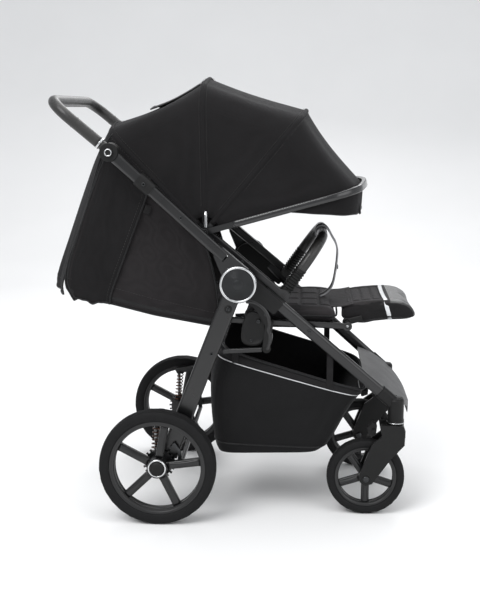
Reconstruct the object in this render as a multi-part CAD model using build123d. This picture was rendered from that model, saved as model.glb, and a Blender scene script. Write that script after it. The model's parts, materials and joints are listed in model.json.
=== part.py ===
from build123d import *
from math import atan2, cos, degrees, pi, radians, sin
import os

# Folding baby stroller, millimetres.
# +X is forward, +Y is the stroller's left, +Z is up, the floor is z = 0.
# The design is drawn with x = 0 at the rear axle and moved by ORIGIN_X when it is written.
ORIGIN_X = 173.22

def polar(centre, radius, angle):
    return (centre[0] + radius * cos(radians(angle)), centre[1] + radius * sin(radians(angle)))


# wheels
REAR_R, REAR_W, REAR_Y = 145.0, 42.0, 272.0
FRONT_R, FRONT_W = 98.0, 34.0
CASTER_X, CASTER_Y, TRAIL = 586.0, 176.0, 72.0
REAR_AXLE_R, FRONT_AXLE_R = 6.0, 5.0
RUN = 0.05                      # radial clearance of everything that turns
BRAKE_TEETH = 20
BRAKE_TURN = 12.0               # pedal travel, degrees
PAWL_ANGLE = 60.0               # where the pawl drops into the ratchet

# points of the side view, (x, z)
AXLE = (0.0, REAR_R)
FRONT_AXLE = (CASTER_X - TRAIL, FRONT_R)
PIVOT = (197.1, 598.8)          # the fold's main pivot
KNUCKLE = (-106.5, 909.3)       # where the grip tilts
GRIP_END = (-250.0, 1028.0)
HOOD = (114.7, 718.5)           # the canopy's hinge
LEG_TOP, LEG_END = (256.0, 574.0), (566.0, 302.0)
REAR_LEG_TOP, REAR_LEG_END = (190.0, 594.7), (22.0, 161.0)
RAIL_LOW, RAIL_HIGH = (312.0, 553.4), HOOD
SEAT_REAR, SEAT_FRONT = (160.0, 497.0), (462.0, 484.0)
BUMPER = (303.0, 561.5)
BUMPER_TOP = (398.0, 697.0)
BRAKE = (52.0, 140.0)

# layers of the side frames, counted outwards from the middle
LEG_Y, LEG_Y_LOW = 212.0, 179.0
RAIL_Y, RAIL_T = 194.5, 12.0
REAR_LEG_Y, REAR_LEG_T = 233.0, 14.0
HANDLE_Y, HANDLE_T = 251.0, 18.0
GRIP_Y, GRIP_R = 238.0, 12.0
PIN_R = 9.0                     # main pivot pin
SMALL_PIN_R = 5.0
SEAT_TUBE_Y, SEAT_TUBE_T = 180.5, 9.0
BACK_Y, BACK_R = 164.0, 8.0     # backrest frame tube

# canopy: angle of each bow about its hinge, from straight ahead
BOW_FRONT, BOW_MIDDLE, BOW_REAR, BOW_FIXED = 15.5, 50.0, 91.0, 134.0
EYE_R = 12.0
VISOR = polar(HOOD, 377, BOW_FRONT)
VISOR_LEAN = 10.5               # the visor flap leans forward by this, to follow the bow

os.makedirs("parts", exist_ok=True)


def save(name, shape):
    export_step(Pos(-ORIGIN_X, 0, 0) * shape, "parts/" + name + ".step")


def side_name(side):
    return "left" if side > 0 else "right"


def along_y(radius, y0, y1, at):
    """A cylinder along Y between y0 and y1, centred on the side view point at."""
    return Pos(at[0], (y0 + y1) / 2, at[1]) * Rot(90, 0, 0) * Cylinder(radius, abs(y1 - y0))


def side_plate(outline, y0, y1, corner=0.0):
    """A flat plate with a side view outline, between y0 and y1."""
    face = make_face(Polyline(*outline, close=True))
    if corner:
        face = fillet(face.vertices(), corner)
    plane = Plane(origin=(0, max(y0, y1), 0), x_dir=(1, 0, 0), z_dir=(0, -1, 0))
    return extrude(plane * face, abs(y1 - y0))


def bar(start, end, height, width, wall=0.0, corner=None):
    """A straight bar or tube with a rounded section; height lies in the side view."""
    start, end = Vector(*start), Vector(*end)
    run = end - start
    across = Vector(0, 1, 0).cross(run)
    radius = min(height, width) * 0.45 if corner is None else corner
    plane = Plane(origin=start, x_dir=across, z_dir=run)
    section = RectangleRounded(height, width, radius)
    if wall:
        section -= RectangleRounded(height - 2 * wall, width - 2 * wall, max(radius - wall, 0.5))
    return extrude(plane * section, run.length)


def at_side(point, y):
    return (point[0], y, point[1])


def between(start, end, share):
    return (start[0] + (end[0] - start[0]) * share, start[1] + (end[1] - start[1]) * share)


def grip_path(start, end, half_width, corner):
    """A U of tube: up from start, across the middle and down again, in one slanted plane."""
    run = Vector(end[0] - start[0], 0, end[1] - start[1])
    plane = Plane(origin=at_side(start, 0), x_dir=(0, 1, 0), z_dir=Vector(0, 1, 0).cross(run))
    return plane * FilletPolyline((-half_width, 0), (-half_width, run.length),
                                  (half_width, run.length), (half_width, 0), radius=corner)


def round_tube(path, radius, wall=0.0):
    section = Circle(radius)
    if wall:
        section -= Circle(radius - wall)
    return sweep(Plane(origin=path @ 0, z_dir=path % 0) * section, path=path)


# ---------------------------------------------------------------- front frame
def front_leg(side):
    tube = bar(at_side(LEG_TOP, side * LEG_Y), at_side(LEG_END, side * LEG_Y_LOW), 29, 20, 2.2)
    return tube - caster_housing(side)


def caster_housing(side):
    y = side * CASTER_Y
    body = Pos(CASTER_X, y, 271) * Cylinder(20, 62)
    body = fillet(body.edges().group_by(Axis.Z)[-1], 6)
    collar = Pos(CASTER_X, y, 244) * Cylinder(21, 8)
    stub = bar(at_side((545, 320.4), side * 181.2), at_side((584, 286), side * 177), 34, 25)
    bore = Pos(CASTER_X, y, 264) * Cylinder(8 + RUN, 60)
    return body + collar + stub - bore


def footplate():
    """A curved plate between the front legs that turns down into a nose."""
    top = Spline((506, 352), (562, 325), (600, 294), (632, 236),
                 tangents=[(1, -0.35), (-0.1, -1)])
    low = Spline((624, 236), (594, 288), (558, 318), (506, 345),
                 tangents=[(0.1, 1), (-1, 0.35)])
    outline = make_face([top, Line((632, 236), (624, 236)), low, Line((506, 345), (506, 352))])
    half = 169
    plane = Plane(origin=(0, half, 0), x_dir=(1, 0, 0), z_dir=(0, -1, 0))
    plate = extrude(plane * outline, 2 * half)
    plate &= Pos(632 - 420, 0, 300) * Cylinder(420, 300)
    for side in (1, -1):
        plate -= Pos(600, side * 180, 200) * Box(200, 100, 84)
        plate -= caster_housing(side)
        plate -= Pos(CASTER_X, side * CASTER_Y, 271) * Cylinder(19, 70)
        plate -= bar(at_side(LEG_TOP, side * LEG_Y), at_side(LEG_END, side * LEG_Y_LOW), 29, 20)
    return plate.solids().sort_by(SortBy.VOLUME)[-1]


def fold_hub(side):
    """The fixed part of the fold joint: hub, sleeve for the front leg, pivot pin."""
    inner, outer = side * 202.5, side * 224.5
    hub = along_y(38, inner, outer, PIVOT)
    low = side_plate([(206, 634), (232, 612), (306, 546), (282, 519), (214, 572)], inner, outer, 5)
    pin = along_y(PIN_R, side * 210, side * 259, PIVOT)
    strut = [(222, 575), (252, 545), (270, 520), (280, 492), (272, 440), (254, 436),
             (261, 490), (252, 512), (234, 534), (205, 562)]
    arm = side_plate(strut, side * 214, side * 224, 3)
    leg = bar(at_side(LEG_TOP, side * LEG_Y), at_side(LEG_END, side * LEG_Y_LOW), 29, 20)
    return hub + low + pin + (arm - low) - leg


def side_brackets():
    """The teardrop plates below the hubs with the link bars' front ends."""
    outline = [(229, 527), (247, 512), (261, 483), (258, 455), (242, 443), (203, 443), (204, 476)]
    group = []
    for side in (1, -1):
        plate = side_plate(outline, side * 206, side * 213.5, 5)
        spacer = along_y(9, side * 185.5, side * 206, (244, 489))
        group.append(plate + spacer)
    return Compound(group)


def link_bars():
    """The longitudinal bars that carry the basket, from the curved struts to the rear legs."""
    group = []
    for side in (1, -1):
        rod = bar((158, side * 219, 425), (252, side * 219, 431), 12, 9)
        stub = along_y(4, side * 219, side * 225.6, (162, 425.3))
        group.append(rod + stub)
    return Compound(group)


def seat_rail(side):
    y = side * RAIL_Y
    tube = bar(at_side(RAIL_LOW, y), at_side(RAIL_HIGH, y), 22, RAIL_T)
    head = along_y(15, y - RAIL_T / 2, y + RAIL_T / 2, HOOD)
    pin = along_y(SMALL_PIN_R, side * 195, side * 226, HOOD)
    socket = along_y(SMALL_PIN_R + RUN, side * 180, side * 202, BUMPER)
    foot = along_y(16, y - RAIL_T / 2, y + RAIL_T / 2, BUMPER)
    leg = bar(at_side(LEG_TOP, side * LEG_Y), at_side(LEG_END, side * LEG_Y_LOW), 29, 20)
    return tube + head + foot + pin - socket - leg


def seat_tubes():
    """The side tubes under the seat, with eyes for the backrest and the leg rest."""
    group = []
    for side in (1, -1):
        y = side * SEAT_TUBE_Y
        tube = bar(at_side(SEAT_REAR, y), at_side(SEAT_FRONT, y), 16, SEAT_TUBE_T)
        inner, outer = y - SEAT_TUBE_T / 2, y + SEAT_TUBE_T / 2
        tube += along_y(9, side * 184, side * 188.5, (367, 486))
        tube += [along_y(11, inner, outer, eye) for eye in (SEAT_REAR, SEAT_FRONT)]
        tube -= [along_y(SMALL_PIN_R + RUN, side * 165, side * 195, eye)
                 for eye in (SEAT_REAR, SEAT_FRONT)]
        group.append(tube)
    return Compound(group)


def seat_board():
    board = Box(216, 352, 9)
    board = fillet(board.edges().filter_by(Axis.Z), 12)
    return Pos(318, 0, 483) * board


def seat_pad():
    pad = side_plate([(200, 488), (430, 488), (431, 516), (412, 523), (260, 525), (200, 521)],
                     -166, 166, 4)
    return pad


def hood_face(radius, half_width, inner=26.0, corner=None):
    """Half-plane outline of the canopy: flat sides, round corners, a low crown."""
    crown, corner = 14.0, corner or radius - 285.0
    shoulder = radius - crown - corner
    edge = half_width - corner
    turn = corner * (1 - cos(pi / 4))
    return make_face([
        Line((inner, -half_width), (shoulder, -half_width)),
        ThreePointArc((shoulder, -half_width),
                      (shoulder + corner * sin(pi / 4), -half_width + turn),
                      (radius - crown, -edge)),
        ThreePointArc((radius - crown, -edge), (radius, 0), (radius - crown, edge)),
        ThreePointArc((radius - crown, edge),
                      (shoulder + corner * sin(pi / 4), half_width - turn),
                      (shoulder, half_width)),
        Line((shoulder, half_width), (inner, half_width)),
        Line((inner, half_width), (inner, -half_width))])


def hood_shell_face(radius, half_width, thick_r, thick_y, inner=26.0, corner=None):
    return hood_face(radius, half_width, inner, corner) - \
        hood_face(radius - thick_r, half_width - thick_y, inner - 8, corner and corner - thick_y)


def hood_plane(angle):
    a = radians(angle)
    return Plane(origin=at_side(HOOD, 0), x_dir=(cos(a), 0, sin(a)), z_dir=(-sin(a), 0, cos(a)))


def hood_panel(radius, half_width, low, high, thick=2.5):
    """A curved sheet between two bows, swept about the canopy's hinge."""
    face = hood_plane(low) * hood_shell_face(radius, half_width, thick, 2.0, 34)
    return revolve(face, axis=Axis(at_side(HOOD, 0), (0, -1, 0)), revolution_arc=high - low)


def hood_bow(radius, half_width, thick_r, thick_y, width, angle, corner=None):
    """A flat bow on its two hinge eyes."""
    face = hood_plane(angle) * hood_shell_face(radius, half_width, thick_r, thick_y, 4, corner)
    bow = extrude(face, width / 2, both=True)
    for side in (1, -1):
        y0, y1 = side * half_width, side * (half_width - thick_y)
        bow += along_y(EYE_R, y0, y1, HOOD)
        bow -= along_y(SMALL_PIN_R + RUN, side * (half_width + 2), side * (half_width - thick_y - 2), HOOD)
    return bow


def canopy_fixed_bow():
    return hood_bow(351, 204, 7, 3, 11, BOW_FIXED)


def side_wings():
    """The fabric sides between the canopy and the backrest."""
    outline = [(126, 692), (96, 722), (-98, 925), (-132, 895), (-238, 596), (-214, 549),
               (134, 482), (148, 500)]
    return Compound([side_plate(outline, s * 185.6, s * 188, 6) for s in (1, -1)])


def rear_flap():
    """The fabric back of the canopy, bowed rearwards, down to the end of the backrest."""
    half = 182.0

    def section(z, edge, middle):
        plane = Plane(origin=(0, 0, z), x_dir=(1, 0, 0), z_dir=(0, 0, 1))
        band = make_face([
            ThreePointArc((edge, -half), (middle, 0), (edge, half)),
            Line((edge, half), (edge + 3, half)),
            ThreePointArc((edge + 3, half), (middle + 3, 0), (edge + 3, -half)),
            Line((edge + 3, -half), (edge, -half))])
        return plane * band

    return loft([section(949, -128, -151), section(837, -158, -199),
                 section(590, -244, -287), section(561, -240, -290)], ruled=True)


# ---------------------------------------------------------------- handle
TUBE_LOW, TUBE_HIGH = (165.5, 662.8), KNUCKLE


def handle_tube(side):
    y = side * HANDLE_Y
    inner, outer = y - side * HANDLE_T / 2, y + side * HANDLE_T / 2
    tube = bar(at_side(TUBE_LOW, y), at_side(TUBE_HIGH, y), 28, HANDLE_T, 2.0)
    tube -= along_y(23, side * 225, side * 262, KNUCKLE)
    lug = along_y(36, inner, side * 258.8, PIVOT)
    neck = side_plate([(138, 668), (156, 690), (222, 634), (232, 600), (180, 566)],
                      inner, side * 258.8, 6)
    neck -= bar(at_side(between(TUBE_LOW, TUBE_HIGH, -0.01), y), at_side(TUBE_HIGH, y), 28, HANDLE_T)
    bore = along_y(PIN_R + RUN, side * 235, side * 270, PIVOT)
    return tube + (lug + neck - bore)


def handle_knuckle(side):
    """The outer half of the tilting joint, on the end of the handle tube."""
    disc = along_y(22, side * 250, side * 262, KNUCKLE)
    disc = fillet(disc.edges().filter_by(GeomType.CIRCLE), 1.5)
    bore = along_y(7 + RUN, side * 240, side * 265, KNUCKLE)
    return disc - bore


def hub_cap(side):
    cap = along_y(45, side * 260, side * 268, PIVOT)
    cap = chamfer(cap.edges().filter_by(GeomType.CIRCLE), 1.5)
    return cap - along_y(38, side * 266.5, side * 270, PIVOT)


def fold_triggers():
    """Sleeves that slide up the handle tubes to release the fold."""
    group = []
    low, high = between(TUBE_HIGH, TUBE_LOW, 0.245), between(TUBE_HIGH, TUBE_LOW, 0.365)
    for side in (1, -1):
        y = side * HANDLE_Y
        sleeve = bar(at_side(low, y), at_side(high, y), 35, HANDLE_T + 6)
        sleeve -= bar(at_side(between(low, high, -0.2), y), at_side(between(low, high, 1.2), y),
                      28.8, HANDLE_T + 0.8)
        group.append(sleeve)
    return Compound(group)


def handle_grip():
    """The U-shaped grip with the inner halves of its two tilting joints."""
    path = grip_path(KNUCKLE, GRIP_END, GRIP_Y, 62)
    tube = round_tube(path, GRIP_R, 2)
    for side in (1, -1):
        disc = along_y(22, side * 227.5, side * 249.8, KNUCKLE)
        tube += disc
        tube -= along_y(7 + RUN, side * 225, side * 252, KNUCKLE)
    return tube


def grip_button(side):
    """The push button in the middle of the tilting joint."""
    stem = along_y(7, side * 232, side * 263.5, KNUCKLE)
    cap = along_y(9.5, side * 265, side * 268, KNUCKLE)
    neck = along_y(7, side * 260, side * 266, KNUCKLE)
    return stem + neck + cap


# ---------------------------------------------------------------- rear frame
def rear_leg(side):
    y = side * REAR_LEG_Y
    inner, outer = y - REAR_LEG_T / 2, y + REAR_LEG_T / 2
    leg = bar(at_side(REAR_LEG_TOP, y), at_side(REAR_LEG_END, y), 44, REAR_LEG_T, 2.0, 6)
    leg += along_y(28, inner, outer, PIVOT)
    leg += along_y(20, inner, outer, AXLE)
    leg += side_plate([(-24, 158), (-24, 166), (0, 166), (16, 190), (46, 178), (24, 130)], inner, outer, 2)
    leg += side_plate([(-18, 254), (-18, 264), (44, 272), (38, 252)], inner, outer, 2)
    leg -= along_y(PIN_R + RUN, side * 215, side * 245, PIVOT)
    leg -= along_y(REAR_AXLE_R, side * 215, side * 245, AXLE)
    return leg


def rear_axle():
    axle = along_y(REAR_AXLE_R, -291, 291, AXLE)
    tube = along_y(11, -225.9, 225.9, AXLE)
    caps = [along_y(13, side * 291.2, side * 295, AXLE) for side in (1, -1)]
    tips = [along_y(REAR_AXLE_R, side * 285, side * 293, AXLE) for side in (1, -1)]
    return axle + tube + caps + tips


def suspension_springs():
    """Coil springs behind the rear legs, drawn as turns of wire stacked as rings."""
    group = []
    low, high = (-12.8, 167.5), (-4.7, 251.0)
    turns = 9
    for side in (1, -1):
        core = bar(at_side(low, side * REAR_LEG_Y), at_side(high, side * REAR_LEG_Y), 10, 10)
        for n in range(turns):
            x, z = between(low, high, (n + 0.5) / turns)
            tilt = degrees(atan2(high[0] - low[0], high[1] - low[1]))
            core += Pos(x, side * REAR_LEG_Y, z) * Rot(0, tilt, 0) * Cylinder(10, 4)
        group.append(core)
    return Compound(group)


def spoked_rim(centre, y, hub_r, hub_y0, hub_y1, ring_in, ring_out, width, first, bore):
    rim = along_y(ring_out, y - width / 2, y + width / 2, centre)
    rim -= along_y(ring_in, y - width, y + width, centre)
    for n in range(5):
        angle = first + 72 * n
        foot, tip = polar(centre, hub_r * 0.7, angle), polar(centre, ring_in + 2, angle)
        rim += bar(at_side(foot, y), at_side(tip, y), 20, width * 0.5, 0, 4)
    rim += along_y(hub_r, hub_y0, hub_y1, centre)
    return rim - along_y(bore, y - 60, y + 60, centre)


def tyre(centre, y, radius, inner, width):
    section = Pos((radius + inner) / 2, 0) * RectangleRounded(radius - inner, width, 10)
    plane = Plane(origin=at_side(centre, y), x_dir=(1, 0, 0), z_dir=(0, 0, 1))
    return revolve(plane * section, axis=Axis(at_side(centre, y), (0, 1, 0)))


REAR_RIM_R, FRONT_RIM_R = 118.0, 77.0


def rear_rim(side):
    y = side * REAR_Y
    rim = spoked_rim(AXLE, y, 25, side * 250.5, side * 290.8, REAR_RIM_R - 10, REAR_RIM_R,
                     REAR_W - 12.2, 8, REAR_AXLE_R + RUN)
    ratchet = along_y(40, side * 245, side * 250.5, AXLE)
    for n in range(BRAKE_TEETH):
        notch = Pos(0, side * 248, 0) * Box(14, 12, 8)
        turn = 360 / BRAKE_TEETH * n - PAWL_ANGLE
        ratchet -= Pos(AXLE[0], 0, AXLE[1]) * Rot(0, turn, 0) * Pos(41, 0, 0) * notch
    return rim + (ratchet - along_y(REAR_AXLE_R + RUN, side * 240, side * 255, AXLE))


def front_rim(side):
    y = side * CASTER_Y
    return spoked_rim(FRONT_AXLE, y, 17, y - 17.5, y + 17.5, FRONT_RIM_R - 8, FRONT_RIM_R,
                      FRONT_W - 12.2, 54, FRONT_AXLE_R + RUN)


def brake_pedal():
    plate = side_plate([(50, 143), (28, 170), (-8, 180), (-46, 186), (-48, 181), (-10, 172),
                        (20, 164), (42, 136)], -36, 36, 1.5)
    return plate - along_y(6, -60, 60, BRAKE)


def brake_shaft():
    """The cross shaft with a hooked pawl at each end that drops into the wheels' ratchets."""
    shaft = along_y(6, -250.1, 250.1, BRAKE)
    arm = side_plate([(58, 140), (49, 174), (28, 195), (22, 189), (41, 170), (46, 138)], -2.2, 2.2, 1)
    tooth = bar(at_side(polar(AXLE, 36.4, PAWL_ANGLE), 0), at_side(polar(AXLE, 52, PAWL_ANGLE), 0),
                3.2, 4.4, 0, 0.6)
    pawl = Pos(BRAKE[0], 0, BRAKE[1]) * Rot(0, BRAKE_TURN, 0) * Pos(-BRAKE[0], 0, -BRAKE[1]) * (arm + tooth)
    for side in (1, -1):
        shaft += Pos(0, side * 247.9, 0) * pawl
    return shaft


# ---------------------------------------------------------------- casters
def caster_fork(side):
    y = side * CASTER_Y
    stem = Pos(CASTER_X, y, 262) * Cylinder(8, 60)
    crown = Pos(CASTER_X, y, 231) * Cylinder(21, 16)
    bridge = side_plate([(552, 206), (552, 234), (603, 237), (609, 226), (609, 206)],
                        y - 29, y + 29, 3)
    outline = [(552, 208), (546, 238), (603, 237), (609, 226), (608, 188), (574, 150), (530, 86),
               (514, 80), (499, 90), (498, 110), (528, 190)]
    fork = stem + crown + bridge
    for offset in (1, -1):
        fork += side_plate(outline, y + offset * 20.5, y + offset * 29, 4)
    return fork + along_y(FRONT_AXLE_R, y - 31, y + 31, FRONT_AXLE)


def swivel_lock(side):
    """The flip lever behind the crown that stops the caster from turning."""
    y = side * CASTER_Y
    lever = side_plate([(520, 206), (516, 226), (530, 240), (540, 234), (538, 212)], y - 12, y + 12, 3)
    return lever + along_y(3, y - 20.4, y + 20.4, (531, 222))


def lock_seat(fork, side):
    y = side * CASTER_Y
    return fork - along_y(3 + RUN, y - 26, y + 26, (531, 222))


# ---------------------------------------------------------------- canopy
def canopy_visor():
    """The flap that hangs inside the front bow and can be turned out."""
    plane = Plane(origin=at_side(VISOR, 0), x_dir=(0, 1, 0), z_dir=(1, 0, 0))
    face = plane * (Pos(0, -32) * RectangleRounded(252, 66, 20))
    flap = Pos(*at_side(VISOR, 0)) * Rot(0, -VISOR_LEAN, 0) * Pos(-VISOR[0], 0, -VISOR[1]) * \
        extrude(face, 3, both=True)
    return flap + along_y(3, -136, 136, VISOR)


def canopy_front_bow():
    bow = hood_bow(409, 222, 9, 7, 14, BOW_FRONT, 90)
    for side in (1, -1):
        y0, y1 = side * 129, side * 136
        hanger = side_plate([(VISOR[0] - 6, VISOR[1] - 6), (VISOR[0] + 6, VISOR[1] - 6),
                             (VISOR[0] + 14, VISOR[1] + 7), (VISOR[0] + 4, VISOR[1] + 10)], y0, y1, 1)
        bow += hanger - along_y(3 + RUN, side * 120, side * 160, VISOR)
    return bow


# ---------------------------------------------------------------- seat parts that move
BACK_END = (-212.0, 566.0)


def backrest_frame():
    """A U of tube hinged behind the seat."""
    path = grip_path(SEAT_REAR, BACK_END, BACK_Y, 40)
    frame = round_tube(path, BACK_R, 1.5)
    for side in (1, -1):
        frame += along_y(BACK_R, side * 156, side * 172, SEAT_REAR)
        frame += along_y(SMALL_PIN_R, side * 165, side * 185, SEAT_REAR)
    return frame


def backrest_plane():
    run = Vector(BACK_END[0] - SEAT_REAR[0], 0, BACK_END[1] - SEAT_REAR[1])
    return Plane(origin=at_side(SEAT_REAR, 0), x_dir=run, z_dir=Vector(0, 1, 0).cross(run))


def backrest_pad():
    plane = backrest_plane()
    pad = plane * Pos(196, 0, 25.5) * Box(364, 322, 32)
    pad = fillet(pad.edges().filter_by(lambda e: abs((e % 0.5).dot(plane.z_dir)) > 0.9), 45)
    return pad


def shoulder_straps():
    plane = backrest_plane()
    return Compound([plane * Pos(178, side * 62, 43.5) * Box(250, 36, 3) for side in (1, -1)])


def recline_lever():
    plane = backrest_plane()
    lever = plane * Pos(330, 0, -2) * Box(24, 120, 12)
    return fillet(lever.edges().filter_by(Axis.Y), 3)


def leg_rest():
    """A padded board with a rounded front edge."""
    outline = [(478, 480), (493, 475), (535, 484), (590, 489), (628, 489), (637, 503), (628, 522),
               (600, 536), (556, 536), (478, 527)]
    board = side_plate(outline, -133, 133, 4)
    plan = Pos(330, 0, 505) * extrude(fillet(Rectangle(616, 266).vertices(), 48), 60, both=True)
    board = board & plan
    for side in (1, -1):
        ear = side_plate([(456, 478), (456, 492), (484, 498), (484, 480)], side * 133, side * 124, 3)
        board += ear + along_y(SMALL_PIN_R, side * 124, side * 185, SEAT_FRONT)
    return board


def bumper_bar():
    path = grip_path(BUMPER, BUMPER_TOP, 172, 80)
    tube = round_tube(path, 12.5)
    for side in (1, -1):
        tube += along_y(13, side * 160, side * 186, BUMPER)
        tube += along_y(SMALL_PIN_R, side * 185, side * 199, BUMPER)
    return tube


def crotch_strap():
    """The webbing from the seat's front edge up round the bumper bar."""
    outer = [(396, 526.5), (416, 538), (433, 566), (441, 640), (430, 676), (412, 688)]
    inner = [(410, 684.5), (427, 674), (438, 640), (430, 567), (414, 540.5), (396, 529.5)]
    return side_plate(outer + inner, -19, 19)


# ---------------------------------------------------------------- basket
def basket():
    """An open-topped fabric basket that sags between the legs."""
    outline = [(160, 417), (118, 372), (118, 289), (130, 152), (350, 150), (412, 165), (432, 186),
               (500, 318)]
    half = 198.0
    shell = side_plate(outline, -half, half, 12)
    cavity = side_plate([(162, 440), (122, 374), (122, 289), (133.5, 155.5), (350, 153.5),
                         (410, 168.5), (429, 188), (496, 322), (520, 400)], -half + 3.5, half - 3.5, 9)
    return shell - cavity


PER_SIDE = {
    "front_leg": front_leg, "fold_hub": fold_hub, "seat_rail": seat_rail,
    "handle_tube": handle_tube, "handle_knuckle": handle_knuckle, "hub_cap": hub_cap,
    "grip_button": grip_button, "rear_leg": rear_leg, "rear_rim": rear_rim,
    "front_rim": front_rim, "swivel_lock": swivel_lock}

for side in (1, -1):
    for name, make in PER_SIDE.items():
        save(name + "_" + side_name(side), make(side))
    save("rear_tyre_" + side_name(side), tyre(AXLE, side * REAR_Y, REAR_R, REAR_RIM_R, REAR_W))
    save("front_tyre_" + side_name(side),
         tyre(FRONT_AXLE, side * CASTER_Y, FRONT_R, FRONT_RIM_R, FRONT_W))
    save("caster_fork_" + side_name(side), lock_seat(caster_fork(side), side))

save("caster_housings", Compound([caster_housing(1), caster_housing(-1)]))
rear_bow = hood_bow(364, 207.8, 8, 3.1, 11, BOW_REAR)
middle_bow = hood_bow(374, 211.3, 8, 3.1, 11, BOW_MIDDLE)
save("canopy_rear_bow", rear_bow)
save("canopy_middle_bow", middle_bow)
save("canopy_rear_panel", hood_panel(350, 203.5, BOW_REAR + 1, BOW_FIXED - 2) - canopy_fixed_bow())
save("canopy_middle_panel", hood_panel(355.5, 206.9, BOW_MIDDLE + 2, BOW_REAR - 2) - rear_bow)
save("canopy_front_panel", hood_panel(368, 210.5, BOW_FRONT + 3, BOW_MIDDLE - 2) - middle_bow)

WHOLE = [footplate, side_brackets, link_bars, seat_tubes, seat_board, seat_pad, canopy_fixed_bow,
         side_wings, rear_flap, fold_triggers, handle_grip, rear_axle, suspension_springs,
         brake_pedal, brake_shaft, canopy_visor, canopy_front_bow, backrest_frame, backrest_pad,
         shoulder_straps, recline_lever, leg_rest, bumper_bar, crotch_strap, basket]

for make in WHOLE:
    save(make.__name__, make())
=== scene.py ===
import bpy
import json
import math
import random
from math import atan2, cos, hypot, pi, radians, sin
from mathutils import Matrix, Vector
from mathutils.bvhtree import BVHTree


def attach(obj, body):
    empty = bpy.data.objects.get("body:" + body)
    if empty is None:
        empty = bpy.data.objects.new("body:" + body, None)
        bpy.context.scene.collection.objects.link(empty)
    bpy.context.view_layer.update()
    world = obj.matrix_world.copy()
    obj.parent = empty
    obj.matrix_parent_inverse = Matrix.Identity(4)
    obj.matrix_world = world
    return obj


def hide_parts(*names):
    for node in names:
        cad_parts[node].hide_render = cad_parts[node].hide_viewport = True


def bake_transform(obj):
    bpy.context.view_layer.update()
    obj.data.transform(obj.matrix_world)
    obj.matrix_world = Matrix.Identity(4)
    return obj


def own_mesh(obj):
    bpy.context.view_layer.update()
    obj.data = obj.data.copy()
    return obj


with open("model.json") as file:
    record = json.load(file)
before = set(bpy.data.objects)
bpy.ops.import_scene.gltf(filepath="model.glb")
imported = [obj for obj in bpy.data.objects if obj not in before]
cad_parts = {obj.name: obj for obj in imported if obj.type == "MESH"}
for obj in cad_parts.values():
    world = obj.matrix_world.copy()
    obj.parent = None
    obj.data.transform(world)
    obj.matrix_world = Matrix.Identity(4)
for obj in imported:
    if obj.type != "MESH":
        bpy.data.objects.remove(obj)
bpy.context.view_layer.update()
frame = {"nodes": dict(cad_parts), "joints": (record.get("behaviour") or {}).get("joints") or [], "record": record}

random.seed(7)
SCENE = bpy.context.scene
JOINT = {joint["name"]: joint for joint in frame["joints"]}
ORIGIN = Vector(JOINT["rear_wheel_left_spin"]["pos_m"])
REAR_RADIUS, REAR_RIM, REAR_WIDTH = 145, 118, 42
FRONT_RADIUS, FRONT_RIM, FRONT_WIDTH = 98, 77, 34
AXLE_Z = REAR_RADIUS

# side view points in millimetres, x forward of the rear axle and z above the floor
HOOD = (114.7, 718.5)
PIVOT = (197.1, 598.8)
KNUCKLE = (-106.5, 909.3)
GRIP_END = (-250, 1028)
SEAT_REAR, SEAT_FRONT = (160, 497), (462, 484)
BACK_END = (-212, 566)
BUMPER, BUMPER_TOP = (303, 561.5), (398, 697)
BUMPER_HALF, BUMPER_CORNER = 172, 80
GRIP_HALF, GRIP_CORNER = 238, 62
TUBE_LOW = (165.5, 662.8)
VISOR_RADIUS, VISOR_LEAN = 377, 10.5
FRONT_AXLE = (514, 98)
CASTER_X, CASTER_Y, REAR_Y = 586, 176, 272
ANGLE = {"front": 15.5, "middle": 50, "rear": 91, "fixed": 134}
BODY_OF_BOW = {"front": "canopy_front", "middle": "canopy_middle", "rear": "canopy_rear",
               "fixed": "front_frame"}
SIDES = ((1, "left"), (-1, "right"))
AHEAD, ACROSS = Vector((1, 0, 0)), Vector((0, 1, 0))


def at(x, z, y=0):
    """A side view point in millimetres as a point of the row frame in metres."""
    return Vector((ORIGIN.x + x / 1000, y / 1000, z / 1000))


def lerp(a, b, t):
    return a + (b - a) * t


def mid(p, q, t):
    return (lerp(p[0], q[0], t), lerp(p[1], q[1], t))


def smooth(t):
    t = min(max(t, 0), 1)
    return t * t * (3 - 2 * t)


def track(points, t):
    """A point a share t of the way along a polyline of tuples."""
    steps = [math.dist(points[i], points[i + 1]) for i in range(len(points) - 1)]
    left = t * sum(steps)
    for i, step in enumerate(steps):
        if left <= step or i == len(steps) - 1:
            share = left / step if step else 0
            return tuple(lerp(a, b, share) for a, b in zip(points[i], points[i + 1]))
        left -= step


def rounded(points, count, turns=2):
    """The polyline with its corners cut round, resampled to count points."""
    for _ in range(turns):
        cut = [points[0]]
        for p, q in zip(points, points[1:]):
            cut.append(tuple(lerp(a, b, 0.25) for a, b in zip(p, q)))
            cut.append(tuple(lerp(a, b, 0.75) for a, b in zip(p, q)))
        points = cut + [points[-1]]
    return [track(points, i / (count - 1)) for i in range(count)]


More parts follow.
